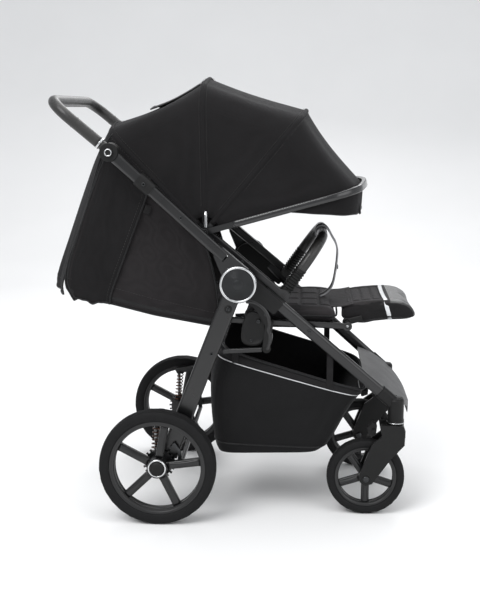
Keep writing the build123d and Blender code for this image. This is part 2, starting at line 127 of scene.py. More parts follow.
# ---------------------------------------------------------------- materials
class Graph:
    """A small builder for one procedural material."""

    def __init__(self, name):
        self.material = bpy.data.materials.new(name)
        self.material.use_nodes = True
        self.tree = self.material.node_tree
        self.shader = self.tree.nodes["Principled BSDF"]
        self.place = self.add("ShaderNodeTexCoord").outputs["Object"]

    def add(self, kind, **settings):
        node = self.tree.nodes.new(kind)
        for key, value in settings.items():
            setattr(node, key, value)
        return node

    def put(self, socket, value):
        if hasattr(value, "node"):
            self.tree.links.new(value, socket)
        else:
            socket.default_value = value

    def math(self, operation, a, b=0):
        node = self.add("ShaderNodeMath", operation=operation)
        self.put(node.inputs[0], a)
        self.put(node.inputs[1], b)
        return node.outputs[0]

    def noise(self, size_mm, detail=3, rough=0.55, stretch=None):
        node = self.add("ShaderNodeTexNoise")
        self.put(node.inputs["Vector"], self.scaled(stretch) if stretch else self.place)
        node.inputs["Scale"].default_value = 1000 / size_mm
        node.inputs["Detail"].default_value = detail
        node.inputs["Roughness"].default_value = rough
        return node.outputs["Fac"]

    def scaled(self, stretch):
        node = self.add("ShaderNodeMapping")
        self.put(node.inputs["Vector"], self.place)
        node.inputs["Scale"].default_value = stretch
        return node.outputs["Vector"]

    def bands(self, pitch_mm, direction, turn=0, bend=0):
        source = self.place
        if turn:
            node = self.add("ShaderNodeMapping")
            self.put(node.inputs["Vector"], self.place)
            node.inputs["Rotation"].default_value = (0, turn, 0)
            source = node.outputs["Vector"]
        node = self.add("ShaderNodeTexWave", wave_type="BANDS", bands_direction=direction)
        self.put(node.inputs["Vector"], source)
        node.inputs["Scale"].default_value = 314.16 / pitch_mm
        node.inputs["Distortion"].default_value = bend
        return node.outputs["Fac"]

    def cells(self, size_mm, feature="F1"):
        node = self.add("ShaderNodeTexVoronoi", feature=feature)
        self.put(node.inputs["Vector"], self.place)
        node.inputs["Scale"].default_value = 1000 / size_mm
        return node.outputs["Distance"]

    def ramp(self, value, low, high, out_low=0, out_high=1):
        node = self.add("ShaderNodeMapRange")
        self.put(node.inputs["Value"], value)
        for key, number in (("From Min", low), ("From Max", high), ("To Min", out_low),
                            ("To Max", out_high)):
            node.inputs[key].default_value = number
        return node.outputs["Result"]

    def mix(self, factor, a, b):
        node = self.add("ShaderNodeMix", data_type="RGBA")
        self.put(node.inputs["Factor"], factor)
        self.put(node.inputs[6], a)
        self.put(node.inputs[7], b)
        return node.outputs[2]

    def bump(self, height, depth_mm, under=None):
        node = self.add("ShaderNodeBump")
        node.inputs["Distance"].default_value = depth_mm / 1000
        node.inputs["Strength"].default_value = 0.9
        self.put(node.inputs["Height"], height)
        if under is not None:
            self.put(node.inputs["Normal"], under)
        return node.outputs["Normal"]


def shade(colour, gain):
    return tuple(min(c * gain, 1) for c in colour[:3]) + (1,)


def linear(code):
    """The linear colour of an sRGB hex code."""
    parts = [int(code[i:i + 2], 16) / 255 for i in (0, 2, 4)]
    return tuple(c / 12.92 if c < 0.04045 else ((c + 0.055) / 1.055) ** 2.4 for c in parts) + (1,)


def cloth_look(name, code, weave_mm=1.6, sheen=0.35, rough=0.86, fold_mm=70, coat=0):
    g = Graph(name)
    base = linear(code)
    weft = g.bands(weave_mm, "X", 0.62, 0.6)
    warp = g.bands(weave_mm, "Z", 0.62, 0.6)
    across = g.bands(weave_mm, "Y", 0, 0.6)
    weave = g.math("MAXIMUM", g.math("MULTIPLY", weft, warp), g.math("MULTIPLY", across, 0.7))
    fuzz = g.noise(0.9, 2)
    wear = g.noise(fold_mm, 4, 0.6)
    tone = g.mix(g.ramp(wear, 0.3, 0.72), shade(base, 0.78), shade(base, 1.3))
    thread = g.mix(g.math("MULTIPLY", weave, 0.45), tone, shade(base, 1.75))
    g.put(g.shader.inputs["Base Color"], thread)
    g.put(g.shader.inputs["Roughness"], g.ramp(fuzz, 0.2, 0.8, rough - 0.07, min(rough + 0.06, 1)))
    g.shader.inputs["Specular IOR Level"].default_value = 0.22
    g.shader.inputs["Sheen Weight"].default_value = sheen * 0.3
    g.shader.inputs["Sheen Roughness"].default_value = 0.45
    g.shader.inputs["Sheen Tint"].default_value = (0.5, 0.5, 0.52, 1)
    g.shader.inputs["Coat Weight"].default_value = coat
    wrinkle = g.bump(g.noise(24, 3, 0.5, (1, 0.45, 1)), 1.6)
    fine = g.bump(g.math("ADD", weave, g.math("MULTIPLY", fuzz, 0.6)), 0.35, wrinkle)
    g.put(g.shader.inputs["Normal"], fine)
    return g.material


def leather_look(name, code, rough=0.32, grain_mm=1.8):
    g = Graph(name)
    base = linear(code)
    pores = g.cells(grain_mm, "DISTANCE_TO_EDGE")
    soft = g.noise(9, 4)
    tone = g.mix(g.ramp(soft, 0.3, 0.7), shade(base, 0.8), shade(base, 1.25))
    # painted shade: the crevices between the grain cells are darkened to 0.45 of the base colour, as shade falls
    # in them
    pore_shade = g.mix(g.ramp(pores, 0, 0.08), shade(base, 0.45), tone)
    g.put(g.shader.inputs["Base Color"], pore_shade)
    g.put(g.shader.inputs["Roughness"], g.ramp(soft, 0.25, 0.75, rough - 0.06, rough + 0.12))
    g.shader.inputs["Coat Weight"].default_value = 0.25
    g.shader.inputs["Coat Roughness"].default_value = 0.3
    under = g.bump(g.ramp(pores, 0, 0.12), 0.22)
    g.put(g.shader.inputs["Normal"], g.bump(soft, 0.4, under))
    return g.material


def hard_look(name, code, rough=0.45, metal=0, grain_mm=0.7, grain=0.08, edge=1.9, coat=0, brushed=None,
              shine=0.5):
    """Painted metal or moulded plastic: grain, mottling, worn edges and faint scuffs."""
    g = Graph(name)
    base = linear(code)
    speck = g.noise(grain_mm, 2)
    cloud = g.noise(55, 4)
    scuff = g.ramp(g.noise(3, 6, 0.7, (1, 8, 1)), 0.66, 0.72)
    tone = g.mix(g.ramp(cloud, 0.3, 0.7), shade(base, 0.86), shade(base, 1.16))
    tone = g.mix(g.math("MULTIPLY", scuff, 0.25), tone, shade(base, 1.8))
    point = g.add("ShaderNodeNewGeometry").outputs["Pointiness"]
    worn = g.math("MULTIPLY", g.ramp(point, 0.53, 0.60), g.ramp(g.noise(7, 4), 0.35, 0.65))
    g.put(g.shader.inputs["Base Color"], g.mix(g.math("MULTIPLY", worn, 0.6), tone, shade(base, edge)))
    uneven = g.math("ADD", g.ramp(cloud, 0.25, 0.75, rough - 0.05, rough + 0.08),
                    g.math("MULTIPLY", scuff, -0.08))
    g.put(g.shader.inputs["Roughness"], uneven)
    g.shader.inputs["Metallic"].default_value = metal
    g.shader.inputs["Specular IOR Level"].default_value = shine
    g.shader.inputs["Coat Weight"].default_value = coat
    g.shader.inputs["Coat Roughness"].default_value = 0.2
    height = g.noise(0.5, 2, 0.5, brushed) if brushed else speck
    g.put(g.shader.inputs["Normal"], g.bump(height, grain))
    return g.material


def tyre_look(name, code):
    g = Graph(name)
    base = linear(code)
    dust = g.noise(26, 5, 0.65)
    bloom = g.noise(1.4, 3)
    tone = g.mix(g.ramp(dust, 0.35, 0.75), shade(base, 0.8), shade(base, 1.55))
    g.put(g.shader.inputs["Base Color"], g.mix(g.math("MULTIPLY", bloom, 0.25), tone, shade(base, 1.9)))
    g.put(g.shader.inputs["Roughness"], g.ramp(dust, 0.2, 0.8, 0.66, 0.88))
    g.shader.inputs["Specular IOR Level"].default_value = 0.28
    moulded = g.bump(g.bands(2.4, "Y", 0, 0.3), 0.12)
    g.put(g.shader.inputs["Normal"], g.bump(bloom, 0.25, moulded))
    return g.material


LOOK = {
    "canopy": cloth_look("canopy_cloth", "100f10", 1.8, 0.22, 0.9, 90),
    "side": cloth_look("side_cloth", "1b191a", 1.5, 0.3, 0.9, 160),
    "seat": cloth_look("seat_cloth", "252324", 1.6, 0.35, 0.84, 50),
    "seat_dark": cloth_look("seat_border_cloth", "131213", 1.4, 0.3, 0.82, 50),
    "basket": cloth_look("basket_cloth", "0b0b0c", 2.2, 0.15, 0.8, 80),
    "piping": cloth_look("piping_cloth", "0d0d0e", 0.8, 0.5, 0.6, 20, 0.15),
    "webbing": cloth_look("webbing_weave", "121112", 1.1, 0.3, 0.78, 30),
    "thread": cloth_look("stitch_thread", "3a3938", 0.5, 0.4, 0.6, 10),
    "reflect": hard_look("reflective_tape", "c9cacc", 0.38, 0.35, 0.9, 0.05, 1.1),
    "leather": leather_look("leatherette", "1c1b1a", 0.3),
    "grip": leather_look("grip_leatherette", "141312", 0.34),
    "frame": hard_look("frame_paint", "0a0a0b", 0.3, 0.2, 0.5, 0.04, 1.8, 0.4),
    "moulding": hard_look("moulded_plastic", "090909", 0.5, 0, 0.6, 0.12, 1.8, 0, None, 0.3),
    "hub": hard_look("hub_metal", "2c2d2e", 0.34, 0.85, 0.5, 0.05, 1.6, 0.1, (1, 1, 9)),
    "rim": hard_look("rim_plastic", "0a0a0b", 0.38, 0.1, 0.8, 0.06, 2, 0.2),
    "foot": hard_look("footplate_plastic", "3c3c3d", 0.46, 0.1, 0.8, 0.1, 1.4),
    "chrome": hard_look("polished_metal", "c8c9ca", 0.16, 1, 0.4, 0.02, 1.1),
    "bow": hard_look("bow_gloss", "1a1a1b", 0.2, 0.2, 0.5, 0.03, 2, 0.5),
    "bolt": hard_look("dark_bolt", "3c3d3e", 0.32, 0.9, 0.4, 0.04, 1.6),
    "edge": cloth_look("light_edging", "8f8f91", 0.8, 0.2, 0.6, 20),
    "steel": hard_look("plain_steel", "9a9b9c", 0.3, 0.95, 0.5, 0.04, 1.2, 0, (1, 12, 1)),
    "copper": hard_look("spring_lacquer", "5a4034", 0.33, 0.8, 0.5, 0.04, 1.5),
    "tyre": tyre_look("tyre_rubber", "0a0a0b"),
    "rubber": tyre_look("soft_rubber", "0e0e0f"),
}
LOOK_OF_SLOT = {
    "canopy_fabric": "canopy", "side_fabric": "side", "seat_fabric": "seat", "basket_fabric": "basket",
    "webbing": "webbing", "grip_cover": "grip", "frame_satin": "frame", "moulding": "moulding",
    "hub_metal": "hub", "rim": "rim", "footplate": "foot", "bare_metal": "bolt", "spring": "copper",
    "tyre": "tyre"}


# ---------------------------------------------------------------- meshes
def new_mesh(name, points, faces, look, even=True):
    mesh = bpy.data.meshes.new(name)
    mesh.from_pydata([tuple(p) for p in points], [], faces)
    mesh.validate()
    mesh.polygons.foreach_set("use_smooth", [even] * len(mesh.polygons))
    mesh.materials.append(LOOK[look])
    obj = bpy.data.objects.new(name, mesh)
    SCENE.collection.objects.link(obj)
    return obj


def apply_all(obj):
    """Turns what the modifiers make into the object's own mesh."""
    bpy.context.view_layer.update()
    graph = bpy.context.evaluated_depsgraph_get()
    mesh = bpy.data.meshes.new_from_object(obj.evaluated_get(graph))
    obj.modifiers.clear()
    obj.data = mesh
    return obj


def outward(obj):
    """Makes the normals of a closed mesh point out."""
    import bmesh
    work = bmesh.new()
    work.from_mesh(obj.data)
    bmesh.ops.recalc_face_normals(work, faces=work.faces)
    work.to_mesh(obj.data)
    work.free()
    return obj


def grid(name, rows, look, thick_mm=0, wrap=False, close_ends=False):
    """A surface through rows of points; with thick_mm it gets a back and edges."""
    ROWS_OF[name] = [list(row) + [row[0]] for row in rows] if wrap else rows
    count = len(rows[0])
    points = [p for row in rows for p in row]
    faces = []
    across = count if wrap else count - 1
    for r in range(len(rows) - 1):
        for c in range(across):
            d = (c + 1) % count
            faces.append((r * count + c, r * count + d, (r + 1) * count + d, (r + 1) * count + c))
    if close_ends:
        faces.append(tuple(range(count - 1, -1, -1)))
        faces.append(tuple((len(rows) - 1) * count + c for c in range(count)))
    obj = new_mesh(name, points, faces, look)
    if thick_mm:
        solid = obj.modifiers.new("thickness", "SOLIDIFY")
        solid.thickness = thick_mm / 1000
        solid.offset = 0
        apply_all(obj)
    if close_ends or thick_mm:
        outward(obj)
    return obj


def sweep(name, path, section, look, side=None, loop=False):
    """A section (across, out) in mm carried along a path of row frame points."""
    rows, last = [], None
    n = len(path)
    for i, p in enumerate(path):
        before = path[(i - 1) % n] if loop or i else p
        after = path[(i + 1) % n] if loop or i < n - 1 else p
        run = (after - before).normalized()
        if side is not None:
            across = (side - run * side.dot(run)).normalized()
        elif last is None:
            guess = Vector((0, 1, 0)) if abs(run.y) < 0.9 else Vector((1, 0, 0))
            across = (guess - run * guess.dot(run)).normalized()
        else:
            across = (last - run * last.dot(run)).normalized()
        last = across
        out = run.cross(across)
        shape = section(i / (n - 1)) if callable(section) else section
        rows.append([p + across * (a / 1000) + out * (b / 1000) for a, b in shape])
    if loop:
        rows.append(rows[0])
        obj = grid(name, rows, look, wrap=True)
        weld(obj)
        return outward(obj)
    return grid(name, rows, look, wrap=True, close_ends=True)


def weld(obj, gap=1e-5):
    import bmesh
    work = bmesh.new()
    work.from_mesh(obj.data)
    bmesh.ops.remove_doubles(work, verts=work.verts, dist=gap)
    work.to_mesh(obj.data)
    work.free()
    return obj


def oval(a, b=None, count=14):
    b = a if b is None else b
    return [(a * cos(2 * pi * k / count), b * sin(2 * pi * k / count)) for k in range(count)]


def strap_section(width, thick):
    """A flat strap with rolled edges."""
    w, t = width / 2, thick / 2
    return [(-w, -t * 0.4), (-w + t, -t), (-w * 0.5, -t), (0, -t), (w * 0.5, -t), (w - t, -t), (w, -t * 0.4),
            (w, t * 0.4), (w - t, t), (w * 0.5, t), (0, t), (-w * 0.5, t), (-w + t, t), (-w, t * 0.4)]


def lathe(name, profile, centre, look, axis="Y", segments=64, closed=False):
    """A profile of (radius, along) in mm turned about an axis through centre."""
    rows = []
    for radius, along in profile:
        row = []
        for k in range(segments):
            a = 2 * pi * k / segments
            u, v = radius * cos(a) / 1000, radius * sin(a) / 1000
            offset = Vector((u, along / 1000, v)) if axis == "Y" else Vector((u, v, along / 1000))
            row.append(centre + offset)
        rows.append(row)
    if closed:
        rows.append(rows[0])
    obj = grid(name, rows, look, wrap=True, close_ends=not closed)
    if closed:
        weld(obj)
    return outward(obj)


def stitches(name, path, look="thread", length=4, gap=3, radius=0.45):
    """Short raised threads along a path of row frame points."""
    total = sum((q - p).length for p, q in zip(path, path[1:])) * 1000
    pieces = max(int(total / (length + gap)), 1)
    run = [tuple(p) for p in path]
    points, faces = [], []
    for k in range(pieces):
        a = Vector(track(run, (k + 0.1) / pieces))
        b = Vector(track(run, (k + 0.62) / pieces))
        along = (b - a).normalized()
        side = along.cross(Vector((0.3, 0.5, 0.8))).normalized() * (radius / 1000)
        lift = along.cross(side).normalized() * (radius / 1000)
        base = len(points)
        for spot in (a, b):
            points += [spot + side, spot + lift, spot - side, spot - lift]
        faces += [(base + i, base + (i + 1) % 4, base + 4 + (i + 1) % 4, base + 4 + i) for i in range(4)]
        faces += [(base + 3, base + 2, base + 1, base), (base + 4, base + 5, base + 6, base + 7)]
    return new_mesh(name, points, faces, look)


def puff(obj, cap_mm, voxel=0.005, pressure=4):
    """Swells a closed form as stuffed cloth: remesh, cloth pressure, a cap on how far points move."""
    remesh = obj.modifiers.new("even", "REMESH")
    remesh.mode = "VOXEL"
    remesh.voxel_size = voxel
    remesh.use_smooth_shade = True
    apply_all(obj)
    rest = [v.co.copy() for v in obj.data.vertices]
    cloth = obj.modifiers.new("cloth", "CLOTH")
    cloth.settings.quality = 4
    cloth.settings.use_pressure = True
    cloth.settings.uniform_pressure_force = pressure
    cloth.settings.effector_weights.gravity = 0
    cloth.collision_settings.use_collision = False
    for step in range(1, 21):
        SCENE.frame_set(step)
    graph = bpy.context.evaluated_depsgraph_get()
    swollen = obj.evaluated_get(graph).to_mesh()
    moved = [v.co.copy() for v in swollen.vertices]
    obj.evaluated_get(graph).to_mesh_clear()
    obj.modifiers.clear()
    SCENE.frame_set(1)
    cap = cap_mm / 1000
    for vertex, start, end in zip(obj.data.vertices, rest, moved):
        shift = end - start
        if shift.length > cap:
            shift = shift.normalized() * cap
        vertex.co = start + shift
    finer = obj.modifiers.new("finer", "SUBSURF")
    finer.levels = 1
    finer.render_levels = 1
    apply_all(obj)
    obj.data.polygons.foreach_set("use_smooth", [True] * len(obj.data.polygons))
    return obj


def sew(obj, channels, depth_mm, width_mm=5, test=None):
    """Presses seams into a cushion: channels(co) gives the distance in mm to the nearest seam."""
    obj.data.calc_loop_triangles()
    normals = [Vector(n.vector) for n in obj.data.vertex_normals]
    for vertex, normal in zip(obj.data.vertices, normals):
        gap = channels(vertex.co)
        if gap < 4 * width_mm and (test is None or test(vertex.co, normal)):
            vertex.co -= normal * (depth_mm / 1000 * math.exp(-(gap / width_mm) ** 2))
    return obj


def area_of(obj):
    return sum(p.area for p in obj.data.polygons)


def longest(lines):
    return max(sum((q - p).length for p, q in zip(line, line[1:])) for line in lines)


def ride(body, *pieces):
    """Each of the pieces moves with one body."""
    for piece in pieces:
        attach(piece, body)


def border_of(rows):
    """The closed edge line of a grid."""
    return rows[0] + [row[-1] for row in rows[1:]] + rows[-1][-2::-1] + [row[0] for row in rows[-2:0:-1]]


def side_line(points, y):
    return [at(x, z, y) for x, z in points]


def cord(name, path, radius, count=10, loop=False):
    """A round piping along a path."""
    return sweep(name, path, oval(radius, None, count), "piping", loop=loop)


def mirrored(profile, sign):
    return [(r, sign * along) for r, along in profile]


def declare_sheet(obj, area):
    """States a sheet's flat size, from its longest row and column; the area stays within their product."""
    rows = ROWS_OF[obj.name]
    width, length = longest(rows), longest(list(zip(*rows)))
    if width > length:
        width, length = length, width
    SHEET_SIZES.append((obj.name, round(width * 1000), round(length * 1000), round(area, 4)))


ROWS_OF = {}
SHEET_SIZES = []

# ---------------------------------------------------------------- canopy
BOW = {"front": (409, 222, 90), "middle": (374, 211.3, 89), "rear": (366, 207.8, 79),
       "fixed": (354, 204, 66)}
CROWN = 14


def hood_profile(radius, half, corner, count=61, inner=36, sag=0):
    """(radius, y) points of the canopy's cross-section, from one hinge over the top to the other."""
    shoulder, edge = radius - CROWN - corner, half - corner
    side = [(inner, half), (shoulder, half)]
    arc = [(shoulder + corner * sin(a), edge + corner * cos(a)) for a in
           [radians(90 * k / 10) for k in range(11)]]
    top = [(radius - CROWN * (y / edge) ** 2, y) for y in [edge * (1 - k / 12) for k in range(1, 13)]]
    right = side + arc[1:] + top
    whole = right + [(r, -y) for r, y in reversed(right[:-1])]
    points = [track(whole, k / (count - 1)) for k in range(count)]
    return [(r - sag * smooth((r - inner) / (radius - inner)) * (0.35 + 0.65 * (1 - (abs(y) / half) ** 4)),
             y) for r, y in points]


def hood_point(angle, radius, y):
    a = radians(angle)
    return at(HOOD[0] + radius * cos(a), HOOD[1] + radius * sin(a), y)


def bow_normal(key):
    """The direction across a bow, towards the next one behind it."""
    return Vector((-sin(radians(ANGLE[key])), 0, cos(radians(ANGLE[key]))))


def bow_radius(radius, half, corner, y):
    """How far from the hinge a bow runs at a sideways position."""
    edge = half - corner
    if abs(y) < edge:
        return radius - CROWN * (y / edge) ** 2
    return radius - CROWN - corner + math.sqrt(max(corner ** 2 - (abs(y) - edge) ** 2, 0))


def between_bows(front, rear, t):
    return tuple(lerp(a, b, t) for a, b in zip(BOW[front], BOW[rear]))


def fan(obj):
    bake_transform(obj)
    return obj


def hood_sheet(name, front, rear, dip, steps=24, gather=0):
    """One continuous panel stretched over two bows; it dips between them as cloth does."""
    rows = []
    low, high = ANGLE[front], ANGLE[rear]
    for s in range(steps + 1):
        t = s / steps
        angle = lerp(low, high, t)
        radius, half, corner = between_bows(front, rear, t)
        if front == "front":
            radius, half, corner = lerp(397, 374, t), lerp(214.5, 211.3, t), lerp(84, 86, t)
        chord = radius * (1 - cos(radians((high - low) / 2)))
        sag = (chord + dip) * (1 - (2 * t - 1) ** 2)
        row = []
        for k, (r, y) in enumerate(hood_profile(radius - 0.5, half + 0.4, corner, 61, 36, sag)):
            ripple = gather * sin(k * 0.9 + t * 3) * sin(pi * t) * smooth((r - 60) / 200)
            inset = 2.6 * sin(pi * t) * smooth((r - 80) / 160) if abs(y) > half - 12 else 0
            row.append(hood_point(angle, r + ripple, y - math.copysign(inset, y)))
        rows.append(row)
    return grid(name, rows, "canopy", 1.2)


def bow_channel(name, key, width=13, high=3.2):
    """The sewn tunnel of cloth that a bow runs in, with a small knuckle at its top."""
    radius, half, corner = BOW[key]
    angle = ANGLE[key]
    path = [hood_point(angle, r, y) for r, y in hood_profile(radius - 1, half - 0.8, corner, 91, 24)]
    normal = bow_normal(key)

    def section(t):
        lift = 1 + 0.8 * math.exp(-((t - 0.5) / 0.02) ** 2)
        return [(width / 2 * cos(2 * pi * k / 16), high * lift * sin(2 * pi * k / 16)) for k in range(16)]
    obj = sweep(name, path, section, "canopy", side=normal)
    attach(obj, BODY_OF_BOW[key])
    for sign, tag in ((1, "a"), (-1, "b")):
        shift = normal * (sign * (width / 2 + 2) / 1000)
        line = [hood_point(angle, r, y) + shift for r,
                y in hood_profile(radius + 0.2, half + 0.8, corner, 61, 60)]
        seam = stitches(name + "_seam_" + tag, line, "thread", 3.6, 3, 0.35)
        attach(seam, BODY_OF_BOW[key])
    return obj


rear_panel = hood_sheet("canopy_rear_cloth", "rear", "fixed", 13, 24, 1)
middle_panel = hood_sheet("canopy_middle_cloth", "middle", "rear", 5, 24, 0.6)
front_panel = hood_sheet("canopy_front_cloth", "front", "middle", 8, 20, 0.6)
channels = {key: bow_channel("canopy_channel_" + key, key) for key in ("middle", "rear", "fixed")}
for panel, front, rear, node in ((rear_panel, "rear", "fixed", "canopy_rear_panel"),
                                 (middle_panel, "middle", "rear", "canopy_middle_panel"),
                                 (front_panel, "front", "middle", "canopy_front_panel")):
    area = area_of(panel) / 2
    fan(panel)
    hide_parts(node)
    declare_sheet(panel, area)


def front_edge():
    """Rolled binding over the front bow, with a stitched seam along each side."""
    radius, half, corner = BOW["front"]
    angle, normal = ANGLE["front"], bow_normal("front")
    path = [hood_point(angle, r, y) for r, y in hood_profile(radius - 2, half - 1.5, corner, 101, 70)]
    binding = sweep("canopy_front_binding", path, oval(8.4, 3.9, 16), "bow", side=normal)
    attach(binding, "canopy_front")
    for sign, tag in ((1, "a"), (-1, "b")):
        line = [p + normal * (sign * 0.0066) for p in
                [hood_point(angle, r, y) for r, y in hood_profile(radius + 1, half + 1, corner, 81, 74)]]
        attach(stitches("canopy_front_binding_seam_" + tag, line, "thread", 3.6, 3, 0.35), "canopy_front")


def valance():
    """The strip of cloth that hangs inside the front bow, deepest at the front."""
    rows = []
    for k, (r, y) in enumerate(hood_profile(400, 213.5, 86, 81, 215)):
        share = min(max((r - 215) / 165, 0), 1)
        deep = lerp(8, 62, share) + 0.8 * sin(k * 0.7) * share
        top = hood_point(ANGLE["front"], r, y)
        row = []
        for step in range(9):
            t = step / 8
            tuck = 5 * t * t * share
            row.append(top + Vector((-tuck / 2000, -math.copysign(tuck, y) * (abs(y) / 213.5) ** 2 / 1000,
                                     -deep * t / 1000)))
        rows.append(row)
    obj = grid("canopy_valance", rows, "canopy", 1.2)
    area = area_of(obj) / 2
    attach(obj, "canopy_front")
    hem = [row[-1] for row in rows]
    edge = cord("canopy_valance_hem", hem, 1.9)
    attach(edge, "canopy_front")
    declare_sheet(obj, area)
    return obj


def visor():
    """The turn-out flap: two cloth faces over a stiff plate, with a bound edge."""
    lean = radians(VISOR_LEAN)
    angle = radians(ANGLE["front"])
    hinge = (HOOD[0] + VISOR_RADIUS * cos(angle), HOOD[1] + VISOR_RADIUS * sin(angle))
    down = (sin(lean), -cos(lean))
    rows, edge = [], []
    for i in range(41):
        y = lerp(-125, 125, i / 40)
        corner = max(abs(y) - 105, 0)
        deep = 65 - (20 - math.sqrt(max(400 - corner ** 2, 0)))
        row = []
        for j in range(13):
            d = 1 + (deep - 1) * j / 12
            swell = 1.2 * sin(pi * j / 12) * cos(y * 0.011)
            x, z = hinge[0] + down[0] * d - swell * cos(lean), hinge[1] + down[1] * d
            row.append(at(x, z, y))
        rows.append(row)
        edge.append(row[-1])
    edge = [rows[0][j] for j in range(13)] + edge[1:-1] + [rows[-1][j] for j in range(12, -1, -1)]
    flap = grid("visor_flap", rows, "canopy", 4)
    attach(flap, "visor")
    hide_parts("canopy_visor")
    binding = cord("visor_binding", edge, 3, 12)
    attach(binding, "visor")
    rod = lathe("visor_hinge_rod", [(2.9, -136), (2.9, 136)], at(hinge[0], hinge[1]), "steel", "Y", 20)
    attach(rod, "visor")


def window_flap():
    """The flap over the rear panel's opening, with a bound edge."""
    rows = []
    for i in range(31):
        t = i / 30
        angle = lerp(93, 116, t)
        radius, half, corner = between_bows("rear", "fixed", (angle - 91) / 43)
        chord = radius * (1 - cos(radians(21.5)))
        share = (angle - 91) / 43
        sag = (chord + 13) * (1 - (2 * share - 1) ** 2)
        row = []
        for k in range(41):
            y = lerp(-118, 118, k / 40)
            dip = sag * (0.35 + 0.65 * (1 - (abs(y) / half) ** 4))
            row.append(hood_point(angle, bow_radius(radius, half, corner, y) - dip + 2 + 7 * t * t, y))
        rows.append(row)
    flap = grid("canopy_window_flap", rows, "canopy", 1.2)
    area = area_of(flap) / 2
    border = border_of(rows)
    binding = cord("canopy_window_binding", border, 1.8, 8, loop=True)
    for piece in (flap, binding):
        fan(piece)
    declare_sheet(flap, area)


front_edge()
valance()
visor()
window_flap()


# ---------------------------------------------------------------- side wings and back curtain
def wing(side, tag):
    steps_u, steps_v = 44, 30
    bottom = [(-214, 549), (-120, 534), (-15, 508), (134, 482)]
    top = [(-112, 915), (-60, 872), (0, 822), (100, 726)]
    rear = [(-214, 549), (-238, 596), (-190, 740), (-132, 893), (-112, 915)]
    front = [(134, 482), (146, 500), (138, 600), (100, 726)]
    rear, front = rounded(rear, steps_v + 1), rounded(front, steps_v + 1)
    rows = []
    for j in range(steps_v + 1):
        v = j / steps_v
        row = []
        for i in range(steps_u + 1):
            u = i / steps_u
            low, high = track(bottom, u), track(top, u)
            left, right = rear[j], front[j]
            corners = [lerp(lerp(bottom[0][c], bottom[-1][c], u), lerp(top[0][c], top[-1][c], u), v)
                       for c in (0, 1)]
            x = lerp(low[0], high[0], v) + lerp(left[0], right[0], u) - corners[0]
            z = lerp(low[1], high[1], v) + lerp(left[1], right[1], u) - corners[1]
            calm = sin(pi * u) * sin(pi * v)
            pucker = 1.3 * sin(u * 26 + v * 9) * calm + 0.9 * sin(v * 31 - u * 7) * calm
            seam = -1.4 * math.exp(-((v - 0.12) / 0.012) ** 2) * sin(pi * min(max(u * 1.1, 0), 1))
            row.append(at(x, z, side * (187 - 5.5 * calm + pucker + seam)))
        rows.append(row)
    cloth = grid("side_wing_" + tag, rows, "side", 1.4)
    area = area_of(cloth) / 2
    rim = border_of(rows)
    piping = cord("side_wing_piping_" + tag, rim, 2.3, 8, loop=True)
    band = [row_point + Vector((0, side * 0.0010, 0)) for row_point in rows[4]]
    seam = stitches("side_wing_seam_" + tag, band, "thread", 4, 3.2, 0.4)
    tape = sweep("side_wing_tape_" + tag, [lerp(a, b, 0.5) + Vector((0, side * 0.0004, 0))
                                          for a, b in zip(rows[1], rows[2])],
                 strap_section(8, 2), "piping", side=Vector((0, 0, 1)))
    for piece in (cloth, piping, seam, tape):
        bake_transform(piece)
    declare_sheet(cloth, area)
    return cloth


def fixed_bow(radius, y):
    """Where the fixed bow runs at a sideways position, and its sideways position at a radius."""
    reach, half, corner = BOW["fixed"]
    edge, a = half - corner, radians(ANGLE["fixed"])
    if radius is None:
        radius = bow_radius(reach, half, corner, y)
    else:
        over = max(radius - (reach - CROWN - corner), 0)
        y = edge + math.sqrt(max(corner ** 2 - over ** 2, 0))
    return HOOD[0] + radius * cos(a), HOOD[1] + radius * sin(a), y


def curtain():
    """The cloth back of the canopy, which bows rearwards and ends in a wavy hem."""
    steps_u, steps_v = 60, 44
    edge = rounded([(-128, 949), (-158, 837), (-205, 700), (-244, 590), (-240, 563)], steps_v + 1)
    middle = rounded([(-151, 949), (-199, 837), (-248, 700), (-285, 590), (-287, 563)], steps_v + 1)
    rows = []
    for j in range(steps_v + 1):
        v = j / steps_v
        row = []
        for i in range(steps_u + 1):
            u = i / steps_u * 2 - 1
            bulge = 1 - abs(u) ** 2.4
            x = lerp(edge[j][0], middle[j][0], bulge)
            z = lerp(edge[j][1], middle[j][1], bulge)
            hang = smooth((v - 0.55) / 0.45)
            x += 3.2 * sin(u * 15 + 0.8) * hang + 1.2 * sin(u * 31) * smooth((v - 0.2) / 0.8)
            z += (5 * sin(u * 9 + 0.5) + 2 * sin(u * 21)) * hang
            top_x, top_z, _ = fixed_bow(None, u * 184)
            keep = smooth(v / 0.2)
            row.append(at(lerp(top_x, x, keep), lerp(top_z, z, keep), u * 184))
        rows.append(row)
    cloth = grid("rear_curtain", rows, "canopy", 1.3)
    area = area_of(cloth) / 2
    hem = cord("rear_curtain_hem", rows[-1], 2.4)
    sides = [cord("rear_curtain_binding_" + tag, [row[i] for row in rows], 2.2)
             for i, tag in ((0, "right"), (-1, "left"))]
    seam = stitches("rear_curtain_seam", [p + Vector((-0.0011, 0, 0)) for p in rows[-4]], "thread", 4, 3,
                    0.4)
    for piece in [cloth, hem, seam] + sides:
        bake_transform(piece)
    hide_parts("rear_flap")
    declare_sheet(cloth, area)


